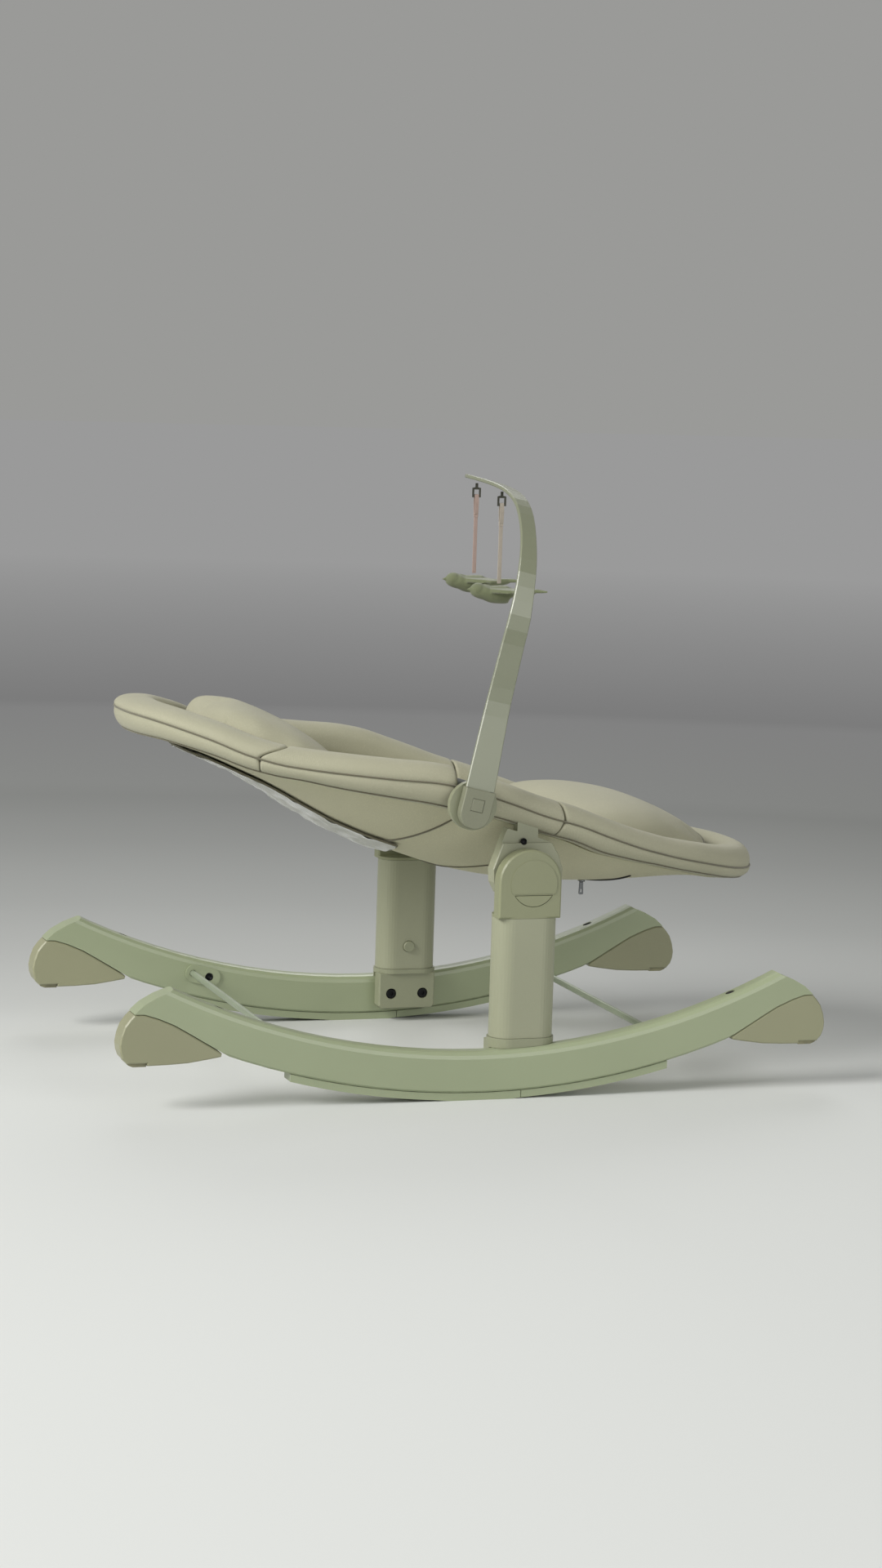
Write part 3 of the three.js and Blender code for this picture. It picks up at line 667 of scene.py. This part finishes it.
def makeCover(name, fromRun, toRun, startKind, endKind, startSign, endSign):
    # signs say whether the foot end lies up (+1) or down (-1) the run at that seam
    span = toRun - fromRun
    ends = [0, 0.6, 1.8, 3.4, 5.5, 8.5]
    count = max(4, round((span - 2 * ends[-1]) / rim["step"]))
    inner = [ends[-1] + (span - 2 * ends[-1]) * k / count for k in range(1, count)]
    places = [*ends, *inner, *(span - d for d in reversed(ends))]
    rows = []
    for d in places:
        share = d / span
        row = []
        for turn in aroundTurns:
            start = fromRun + startSign * seamSlant(startKind, turn)
            end = toRun + endSign * seamSlant(endKind, turn)
            run = start + (end - start) * share
            edge = min(d, span - d)
            rounding = rim["round"] if turn <= 180 or turn > 345 else 2.0
            inset = 0.0
            if edge < rounding:
                inset = rounding * (1 - math.sqrt(max(0.0, 1 - (1 - edge / rounding) ** 2)))
            row.append(rimPoint(stationAt(run), turn, inset))
        rows.append(row)
    for atStart in (True, False):
        base = rows[0] if atStart else rows[-1]
        centre = stationAt(fromRun if atStart else toRun)["middle"] * mm
        for keep in (0.8, 0.6, 0.42):
            wall = [centre + (p - centre) * keep for p in base]
            rows.insert(0, wall) if atStart else rows.append(wall)
    piece = gridPiece(name, rows, wrap=True)
    outwards(piece)
    count = len(aroundTurns)
    held = [j for j, turn in enumerate(aroundTurns) if turn in (0, 3.5, 180, 302, 356)]
    pinned = [i * count + j for i in range(len(rows)) for j in held]
    for i in [*range(7), *range(len(rows) - 7, len(rows))]:
        pinned += [i * count + j for j in range(count)]
    inflate(piece, sorted(set(pinned)), swell)
    subdivided(piece)
    applied(piece, "SOLIDIFY", thickness=0.0016, offset=-1, use_even_offset=False)
    smoothed(piece)
    finished(piece, seatFinish, "seat", "seat_fabric", name)
    return piece


leftFront, leftHead = runAt(ringAngle(rim["frontSeam"], 1)), runAt(ringAngle(rim["headSeam"], 1))
rightHead, rightFront = runAt(ringAngle(rim["headSeam"], -1)), runAt(ringAngle(rim["frontSeam"], -1))
clipBack = runAt(ringAngle(rim["clip"] - rim["clipHalf"], -1))
clipFront = runAt(ringAngle(rim["clip"] + rim["clipHalf"], -1))
rightFrontLow = runAt(ringAngle(rim["frontSeam"], -1) - 360)
g = rim["gap"]
makeCover("rim_foot", rightFrontLow + g, leftFront - g, "front", "front", 1, -1)
makeCover("rim_left", leftFront + g, leftHead - g, "front", "lap", -1, -1)
makeCover("rim_head", leftHead + g, rightHead - g, "lap", "lap", -1, 1)
makeCover("rim_right_back", rightHead + g, clipBack - g, "lap", "cut", 1, 1)
makeCover("rim_right_front", clipFront + g, rightFront - g, "cut", "front", 1, 1)


def ringLine(fromRun, toRun, turn, inset, step=5.0):
    count = round((toRun - fromRun) / step)
    runs = [fromRun + (toRun - fromRun) * k / count for k in range(count + 1)]
    return [rimPoint(stationAt(r), turn, inset) for r in runs]


ringPiping = ringLine(clipFront - runAt(270) + runAt(-90) + 2, clipBack - 2, 0, -0.8)
threadLine("rimPiping", ringPiping, 0.0011, pipingShadeFinish, "seat", "seat_fabric")
skirtSeam = ringLine(clipFront - runAt(270) + runAt(-90) + 2, clipBack - 2, rim["skirtTurn"], -1.0)
threadLine("skirtSeam", skirtSeam, 0.0009, pipingShadeFinish, "seat", "seat_fabric")
print("rim covers made")


# Sling, mesh panel and their seams
sling = {"length": 380, "width": 200, "power": 2.6, "lift": 3.0, "rows": 92, "columns": 60}


def slingHalf(x):
    reach = min(1.0, abs(x - ring["centre"]) / sling["length"])
    return sling["width"] * (1 - reach ** ring["power"]) ** (1 / ring["power"])


def slingPoint(x, share, below=0.0):
    # a point of the sling's underside; share runs from -1 to 1 across it
    outline = ring["centre"] + (x - ring["centre"]) * ring["halfLength"] / sling["length"]
    edge = eased(seamHeight, outline) - eased(dropBelow, outline) - 3.5
    lowest = min(eased(slingLow, x), edge)
    z = edge + sling["lift"] * abs(share) ** 6 + (lowest - edge) * (1 - abs(share) ** sling["power"])
    return Vector((x, share * slingHalf(x), z - below)) * mm


def slingShareAt(x, y):
    return max(-1.0, min(1.0, y / slingHalf(x)))


slingRows = []
for i in range(sling["rows"] + 1):
    t = math.pi * i / sling["rows"]
    x = ring["centre"] - (sling["length"] - 0.8) * math.copysign(abs(math.cos(t)) ** 0.8, math.cos(t))
    shares = [math.sin(math.pi * (k / sling["columns"] - 0.5)) for k in range(sling["columns"] + 1)]
    slingRows.append([slingPoint(x, share) for share in shares])
slingPiece = gridPiece("slingCloth", slingRows)
applied(slingPiece, "SOLIDIFY", thickness=0.0018, offset=-1, use_even_offset=False)
subdivided(slingPiece)
smoothed(slingPiece)
finished(slingPiece, slingFinish, "seat", "sling_fabric", "sling")

panel = {"from": -318, "to": -66, "rows": 60, "columns": 24, "drop": 5.6, "crumple": 2.2}
panelHalf = [(-318, 60), (-264, 96), (-66, 108)]
panelRows = []
for i in range(panel["rows"] + 1):
    x = panel["from"] + (panel["to"] - panel["from"]) * i / panel["rows"]
    row = []
    for k in range(panel["columns"] + 1):
        y = (2 * k / panel["columns"] - 1) * level(panelHalf, x)
        ripple = math.sin(i * 0.83 + math.sin(k * 0.7) * 1.9) * math.cos(k * 0.9 + i * 0.31)
        row.append(slingPoint(x, slingShareAt(x, y), panel["drop"] + panel["crumple"] * ripple))
    panelRows.append(row)
panelPiece = gridPiece("meshPanelCloth", panelRows)
applied(panelPiece, "SOLIDIFY", thickness=0.0012, offset=0, use_even_offset=False)
subdivided(panelPiece)
smoothed(panelPiece)
finished(panelPiece, netFinish, "seat", "mesh_fabric", "mesh_panel")


def slingLine(places, below=0.6):
    return [slingPoint(x, slingShareAt(x, y), below) for x, y in places]


def between(a, b, count):
    return [(a[0] + (b[0] - a[0]) * k / count, a[1] + (b[1] - a[1]) * k / count) for k in range(count + 1)]


panelEdge = [(x, -level(panelHalf, x)) for x in range(panel["from"], panel["to"] + 1, 6)]
panelEdge += between((panel["to"], -108), (panel["to"], 108), 36)[1:]
panelEdge += [(x, level(panelHalf, x)) for x in range(panel["to"], panel["from"] - 1, -6)][1:]
panelEdge += between((panel["from"], 60), (panel["from"], -60), 20)[1:-1]
threadLine("panelBinding", slingLine(panelEdge, 4.4), 0.0014, pipingShadeFinish, "seat", "sling_fabric", closed=True)


def hipSeam(x0, x1, top, count=60):
    # a seam across the belly, lowest in the middle, its ends rising towards the foot end
    line = []
    for k in range(count + 1):
        share = 2 * k / count - 1
        x = x0 + (x1 - x0) * abs(share) ** 2.2
        line.append(slingPoint(x, share * top, 0.9))
    return line


threadLine("bellyPiping", hipSeam(-100, -14, 0.985), 0.0012, pipingShadeFinish, "seat", "sling_fabric")
threadLine("seatSeam", hipSeam(0, 92, 0.8), 0.0007, pipingShadeFinish, "seat", "sling_fabric")
print("sling made")


# Pads
def padGrid(name, s, half, topAt, bottomAt):
    # a closed pillow: an upper and a lower skin that meet along the piping line
    def station(g, f):
        m = max(abs(g), abs(f))
        soft = (abs(g) ** s["square"] + abs(f) ** s["square"]) ** (1 / s["square"]) or 1
        return g * m / soft, f * m / soft, m

    steps, across = s["rows"], s["columns"]
    gs = [math.sin(math.pi * (i / steps - 0.5)) for i in range(steps + 1)]
    fs = [math.sin(math.pi * (k / across - 0.5)) for k in range(across + 1)]
    centre, length = (s["from"] + s["to"]) / 2, (s["to"] - s["from"]) / 2
    skins, seam = [], {}
    for side in (1, -1):
        rows = []
        for i, g in enumerate(gs):
            row = []
            for k, f in enumerate(fs):
                a, b, m = station(g, f)
                x = centre + length * a
                y = half(x) * b
                high, low = topAt(x, y), bottomAt(x, y)
                middle = low + (high - low) * s["seam"]
                puff = (1 - min(1.0, m) ** s["edge"]) ** 0.5
                z = middle + ((high - middle) if side > 0 else (low - middle)) * puff
                row.append(Vector((x, y, z)) * mm)
                if m > 0.999 and side > 0:
                    seam[(i, k)] = row[-1]
            rows.append(row if side > 0 else row[::-1])
        skins.append(gridPiece(name, rows))
    piece = joined(name, skins)
    outwards(piece)
    loop = [seam[(0, k)] for k in range(across)] + [seam[(i, across)] for i in range(steps)]
    loop += [seam[(steps, k)] for k in range(across, 0, -1)] + [seam[(i, 0)] for i in range(steps, 0, -1)]
    return piece, loop


def finishPad(piece, loop, s, node):
    near = [p.copy() for p in loop]
    pinned = []
    for v in piece.data.vertices:
        if min((v.co - p).length_squared for p in near) < (0.6 * mm) ** 2:
            pinned.append(v.index)
    inflate(piece, pinned, s["swell"])
    subdivided(piece)
    smoothed(piece)
    finished(piece, seatFinish, "seat", "seat_fabric", node)
    threadLine(piece.name + "Piping", loop, 0.0013, pipingShadeFinish, "seat", "seat_fabric", closed=True)


headPad = {
    "from": -300, "to": -94, "rows": 44, "columns": 52, "square": 6, "edge": 7, "seam": 0.34, "fill": 0.6,
    "swell": {"pressure": 4.0, "cap": 0.005, "frames": 18},
}
headTop = [(-302, 456), (-290, 467), (-250, 459), (-200, 440), (-160, 417), (-120, 379), (-92, 335)]
headHalf = [(-302, 92), (-292, 103), (-270, 118), (-250, 130), (-200, 145), (-140, 147), (-104, 132), (-92, 116)]


def slingUp(x, y):
    return slingPoint(x, slingShareAt(x, y)).z / mm


padPiece, padLoop = padGrid(
    "headPadCushion", headPad, lambda x: level(headHalf, x),
    lambda x, y: eased(headTop, x) - 10 * (y / 140) ** 2,
    lambda x, y: max(slingUp(x, y * 1.05) + 11, eased(headTop, x) - 54))
finishPad(padPiece, padLoop, headPad, "head_pad")

footPad = {
    "from": 124, "to": 370, "rows": 48, "columns": 60, "square": 7, "edge": 7, "seam": 0.3, "fill": 0.6,
    "swell": {"pressure": 4.0, "cap": 0.005, "frames": 18},
}
footTop = [(122, 322), (140, 338), (170, 348), (216, 349), (264, 341), (317, 320), (343, 307), (363, 299), (372, 293)]
footDeep = [(122, 10), (140, 22), (170, 28), (300, 28), (343, 20), (363, 14), (372, 11)]


def insideRing(x):
    reach = abs(x - ring["centre"]) / (ring["halfLength"] - ring["rim"])
    return (ring["halfWidth"] - ring["rim"]) * (1 - reach ** ring["power"]) ** (1 / ring["power"]) - ring["rim"] - 5


padPiece, padLoop = padGrid(
    "footPadCushion", footPad, lambda x: insideRing(x) - max(0.0, x - 340) * 0.55,
    lambda x, y: eased(footTop, x) - 16 * (y / insideRing(x)) ** 2,
    lambda x, y: eased(footTop, x) - level(footDeep, x) - 20 * (y / insideRing(x)) ** 2)
finishPad(padPiece, padLoop, footPad, "foot_pad")
print("pads made")


# Small hard pieces
def screwHead(name, at, radius, depth, sign, material, body, slot):
    # a flat-topped screw with a hexagon socket, facing along Y; sign is the way it faces
    bpy.ops.mesh.primitive_cylinder_add(vertices=28, radius=radius, depth=depth, location=(0, 0, 0))
    piece = started(name)
    editStart(piece, "FACE")
    pick(piece, lambda c, n: n.z > 0.9, "FACE")
    bpy.ops.mesh.inset(thickness=radius * 0.22, depth=0)
    bpy.ops.mesh.inset(thickness=radius * 0.1, depth=-radius * 0.1)
    bpy.ops.mesh.inset(thickness=radius * 0.18, depth=0)
    bpy.ops.transform.translate(value=(0, 0, -depth * 0.5))
    editEnd()
    applied(piece, "BEVEL", width=radius * 0.08, segments=2, limit_method="ANGLE")
    piece.rotation_euler = (math.radians(-90 * sign), 0, 0)
    piece.location = at
    placed(piece)
    smoothed(piece, 35)
    return finished(piece, material, body, slot)


for side, sign in (("left", -1), ("right", 1)):
    for end, lengthSign in (("head", -1), ("foot", 1)):
        low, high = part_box(f"rod_plate_{end}_{side}")
        face = low.y if side == "left" else high.y
        x = lengthSign * 0.213
        screwHead(
            f"plateScrew_{end}_{side}", (x, face - sign * 0.0012, 0.0646), 0.0051, 0.003, sign, blackFinish,
            "base", "black_steel")
    screwHead(
        f"bracketScrew_{side}", (0.056, -sign * 0.2324, 0.311), 0.004, 0.0022, -sign, blackFinish, "seat",
        "black_steel")


def topPlug(name, x, y, z, slope):
    # a dark oval plug sunk in the runner's top
    bpy.ops.mesh.primitive_cylinder_add(vertices=32, radius=0.0046, depth=0.004, location=(0, 0, 0))
    piece = started(name)
    editStart(piece, "FACE")
    bpy.ops.mesh.select_all(action="SELECT")
    bpy.ops.transform.resize(value=(1.28, 1, 1))
    pick(piece, lambda c, n: n.z > 0.9, "FACE")
    bpy.ops.mesh.inset(thickness=0.001, depth=0)
    bpy.ops.mesh.inset(thickness=0.0006, depth=-0.0006)
    editEnd()
    piece.rotation_euler = (0, slope, 0)
    piece.location = (x, y, z)
    placed(piece)
    smoothed(piece, 35)
    return finished(piece, zipFinish, "base", "pad_rubber")


plug = {"x": 0.3267, "y": 0.2545, "radius": 0.8962}
for side, ySign in (("left", 1), ("right", -1)):
    for end, xSign in (("head", -1), ("foot", 1)):
        slope = -xSign * math.asin(plug["x"] / plug["radius"])
        z = 0.9556 - math.sqrt(plug["radius"] ** 2 - plug["x"] ** 2) - 0.0022
        topPlug(f"topPlug_{end}_{side}", xSign * plug["x"], ySign * plug["y"], z, slope)

# Zip along the sling's side, with its slider above the hanging pull
zipPlaces = [(236, -132), (230, -108), (222, -85), (213, -62), (205, -40)]
zipLine = []
for a, b in zip(zipPlaces, zipPlaces[1:]):
    zipLine += between(a, b, 5)[:-1]
zipLine.append(zipPlaces[-1])
threadLine("zipCoil", slingLine(zipLine, 0.6), 0.0014, zipFinish, "seat", "sling_fabric")
pullLow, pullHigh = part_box("zip_pull")
bpy.ops.mesh.primitive_cube_add(size=1, location=(0, 0, 0))
slider = started("zipSlider")
editStart(slider, "FACE")
bpy.ops.mesh.select_all(action="SELECT")
bpy.ops.transform.resize(value=(0.007, 0.009, 0.0026))
pick(slider, lambda c, n: n.z < -0.9, "FACE")
bpy.ops.mesh.inset(thickness=0.0018, depth=0)
bpy.ops.mesh.extrude_region_move(TRANSFORM_OT_translate={"value": (0, 0, -0.0012)})
editEnd()
applied(slider, "BEVEL", width=0.0006, segments=2, limit_method="ANGLE")
slider.location = ((pullLow.x + pullHigh.x) / 2, (pullLow.y + pullHigh.y) / 2, pullHigh.z + 0.0012)
placed(slider)
smoothed(slider, 35)
finished(slider, chromeFinish, "seat", "chrome")
print("screws, plugs and zip made")


# Hanging toys
bird = {"voxel": 0.0011}


def addBall(name, size, at):
    bpy.ops.mesh.primitive_uv_sphere_add(segments=32, ring_count=18, radius=1, location=(0, 0, 0))
    piece = started(name)
    editStart(piece)
    bpy.ops.mesh.select_all(action="SELECT")
    bpy.ops.transform.resize(value=size)
    bpy.ops.transform.translate(value=at)
    editEnd()
    return piece


def makeBird(tag, body):
    low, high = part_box(f"toy_bird_{tag}")
    hookX, midY, top = low.x + 0.043, (low.y + high.y) / 2, high.z - 0.001
    trunk = addBall("trunk", (0.038, 0.0128, 0.0115), (0.004, 0, -0.0142))
    pick(trunk, lambda c, n: c.x > 0.012)
    bpy.ops.transform.resize(value=(1.25, 0.62, 0.5), center_override=(0.012, 0, -0.0105))
    pick(trunk, lambda c, n: c.x < -0.014)
    bpy.ops.transform.translate(value=(-0.004, 0, 0.003))
    editEnd()
    head = addBall("head", (0.0102, 0.0092, 0.0088), (-0.0275, 0, -0.0085))
    bpy.ops.mesh.primitive_cone_add(vertices=20, radius1=0.0036, radius2=0.0006, depth=0.009, location=(0, 0, 0))
    beak = started("beak")
    beak.rotation_euler = (0, math.radians(-96), 0)
    beak.location = (-0.0385, 0, -0.0082)
    placed(beak)
    wings = []
    for sign in (-1, 1):
        bpy.ops.mesh.primitive_cube_add(size=1, location=(0, 0, 0))
        wing = started("wing")
        editStart(wing, "FACE")
        bpy.ops.mesh.select_all(action="SELECT")
        bpy.ops.transform.resize(value=(0.034, 0.01, 0.0058))
        bpy.ops.transform.translate(value=(0.003, sign * 0.008, -0.0092))
        for reach, back, width in ((0.010, 0.004, 0.86), (0.010, 0.006, 0.72), (0.007, 0.005, 0.4)):
            pick(wing, lambda c, n: n.y * sign > 0.6, "FACE")
            bpy.ops.mesh.extrude_region_move(TRANSFORM_OT_translate={"value": (back, sign * reach, 0.0002)})
            tip = pickedMiddle(wing)
            bpy.ops.transform.resize(value=(width, 1, 0.82), center_override=(tip.x, tip.y, -0.0092))
        editEnd()
        wings.append(wing)
    tails = []
    for sign in (-1, 1):
        bpy.ops.mesh.primitive_cube_add(size=1, location=(0, 0, 0))
        tail = started("tail")
        editStart(tail, "FACE")
        bpy.ops.mesh.select_all(action="SELECT")
        bpy.ops.transform.resize(value=(0.012, 0.0075, 0.0046))
        bpy.ops.transform.translate(value=(0.040, sign * 0.002, -0.0098))
        pick(tail, lambda c, n: n.x > 0.6, "FACE")
        bpy.ops.mesh.extrude_region_move(TRANSFORM_OT_translate={"value": (0.008, sign * 0.0045, 0)})
        bpy.ops.transform.resize(value=(1, 0.7, 0.9), center_override=(0.054, sign * 0.0065, -0.0098))
        bpy.ops.mesh.extrude_region_move(TRANSFORM_OT_translate={"value": (0.0065, sign * 0.0045, 0)})
        bpy.ops.transform.resize(value=(1, 0.45, 0.7), center_override=(0.0605, sign * 0.011, -0.0098))
        editEnd()
        tails.append(tail)
    piece = joined(f"birdToy_{tag}", [trunk, head, beak, *wings, *tails])
    applied(piece, "REMESH", mode="VOXEL", voxel_size=bird["voxel"])
    applied(piece, "SMOOTH", factor=0.6, iterations=5)
    piece.location = (hookX, midY, top)
    placed(piece)
    smoothed(piece)
    finished(piece, birdFinish, body, "felt", f"toy_bird_{tag}")
    return hookX, midY, top


def makeRibbon(tag, body, finish, hookX, midY, birdTop):
    # a flat ribbon: a stitched loop through the hook's eye, then one band down to the bird
    low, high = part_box(f"toy_strap_{tag}")
    width, thick = 0.005, 0.0009
    loopTop, stitch = high.z - 0.0006, high.z - 0.027

    def band(name, path, wide):
        rows = []
        for i, p in enumerate(path):
            ahead = Vector(path[min(i + 1, len(path) - 1)]) - Vector(path[max(i - 1, 0)])
            across = Vector((1, 0, 0))
            normal = ahead.normalized().cross(across)
            rows.append([
                Vector(p) + across * a * wide / 2 + normal * b * thick / 2
                for a, b in ((-1, -1), (-0.6, -1.15), (0.6, -1.15), (1, -1), (1, 1), (0.6, 1.15), (-0.6, 1.15), (-1, 1))
            ])
        piece = gridPiece(name, rows, wrap=True)
        editStart(piece, "EDGE")
        bpy.ops.mesh.select_non_manifold()
        bpy.ops.mesh.fill_holes(sides=0)
        bpy.ops.mesh.select_all(action="SELECT")
        bpy.ops.mesh.normals_make_consistent(inside=False)
        editEnd()
        applied(piece, "BEVEL", width=0.00015, segments=1, limit_method="ANGLE")
        smoothed(piece, 40)
        return finished(piece, finish, body, "ribbon")

    down = [(hookX, midY, stitch + (birdTop - 0.0004 - stitch) * k / 24) for k in range(25)]
    strap = band(f"ribbon_{tag}", down, width)
    loop = []
    for k in range(31):
        a = 2 * math.pi * (k / 30)
        drop = 0.5 - 0.5 * math.cos(a)
        spread = 0.0026 * math.sin(a) * (1.0 if drop < 0.5 else 0.75)
        loop.append((hookX, midY + spread, loopTop - drop * (loopTop - stitch)))
    folded = band(f"ribbonLoop_{tag}", loop, width * 1.04)
    bpy.ops.mesh.primitive_cube_add(size=1, location=(0, 0, 0))
    tab = started(f"ribbonStitch_{tag}")
    editStart(tab, "FACE")
    bpy.ops.mesh.select_all(action="SELECT")
    bpy.ops.transform.resize(value=(0.0056, 0.0026, 0.0052))
    pick(tab, lambda c, n: abs(n.y) > 0.9, "FACE")
    bpy.ops.mesh.inset(thickness=0.0007, depth=-0.0003)
    editEnd()
    applied(tab, "BEVEL", width=0.0005, segments=2, limit_method="ANGLE")
    tab.location = (hookX, midY, stitch + 0.0005)
    placed(tab)
    smoothed(tab, 40)
    finished(tab, finish, body, "ribbon")
    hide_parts(f"toy_strap_{tag}")
    abs(down[-1][2] - down[0][2])


for tag, finish in (("far", farRibbon), ("near", nearRibbon)):
    spot = makeBird(tag, f"toy_bird_{tag}")
    makeRibbon(tag, f"toy_bird_{tag}", finish, *spot)
print("toys made")


# Floor, backdrop and lights
# floor greys by distance, in metres, from a spot just in front of the object: a painted pool of light, lighter near the
# object and darker away from it; further out the paint turns black and the floor glows grey instead, as a painted glow
floorPaintedFalloff = [
    (0.0, 218), (1.0, 216), (1.4, 204), (1.8, 188), (2.3, 170), (3.0, 152), (3.8, 136), (5.4, 0),
]
glowGreys = [(0.0, 0), (3.6, 0), (5.2, 122), (6.6, 132), (8.4, 142), (11.0, 154)]
stageSize = {"floor": 60, "reach": 13.0, "spot": (0.35, 1.05, 0), "world": linear(154, 154, 152)}


def makeStage(s):
    bpy.ops.mesh.primitive_plane_add(size=1, location=(0, 0, 0))
    floor = started("floor")
    editStart(floor, "FACE")
    bpy.ops.mesh.select_all(action="SELECT")
    bpy.ops.transform.resize(value=(s["floor"], s["floor"], 1))
    bpy.ops.mesh.subdivide(number_cuts=6)
    editEnd()
    f = Finish("floorPaint")
    place = f.place()
    moved = f.node("ShaderNodeMapping", {}, {"Vector": place, "Location": s["spot"]})
    far = f.node("ShaderNodeVectorMath", {"operation": "LENGTH"}, {0: moved}, 1)
    share = (far + (f.noise(place, 2.0) - 0.5) * 0.08) / s["reach"]
    # the base colour is a painted pool of light and the emission a painted glow
    paintedLight = [(d / s["reach"], linear(v, v * 1.01, v * 1.0)) for d, v in floorPaintedFalloff]
    glow = [(d / s["reach"], linear(v, v, v)) for d, v in glowGreys]
    floor.data.materials.append(f.done(
        Base_Color=f.node("ShaderNodeValToRGB", {"stops": paintedLight}, {"Fac": share}),
        Emission_Color=f.node("ShaderNodeValToRGB", {"stops": glow}, {"Fac": share}),
        Emission_Strength=1.0, Specular_IOR_Level=0.0, Roughness=0.8 + f.noise(place, 8.0) * 0.1))
    world = bpy.data.worlds.new("studio")
    scene.world = world
    world.use_nodes = True
    world.node_tree.nodes["Background"].inputs["Color"].default_value = (*s["world"], 1)
    world.node_tree.nodes["Background"].inputs["Strength"].default_value = 1.0


def makeLight(name, place, target, size, power, colour=(1, 1, 1)):
    data = bpy.data.lights.new(name, "AREA")
    data.shape = "DISK"
    data.size = size
    data.energy = power
    data.color = colour
    made = bpy.data.objects.new(name, data)
    made.location = place
    made.rotation_euler = (Vector(target) - Vector(place)).to_track_quat("-Z", "Y").to_euler()
    scene.collection.objects.link(made)


makeStage(stageSize)
makeLight("key", (-6.4, -1.9, 4.3), (0, 0, 0.3), 3.8, 570, (1.0, 0.99, 0.975))
makeLight("fill", (2.6, -6.4, 2.4), (0, 0, 0.3), 4.4, 130)
makeLight("back", (1.4, 5.2, 4.2), (0, 0, 0.3), 3.2, 80)
print("stage made")
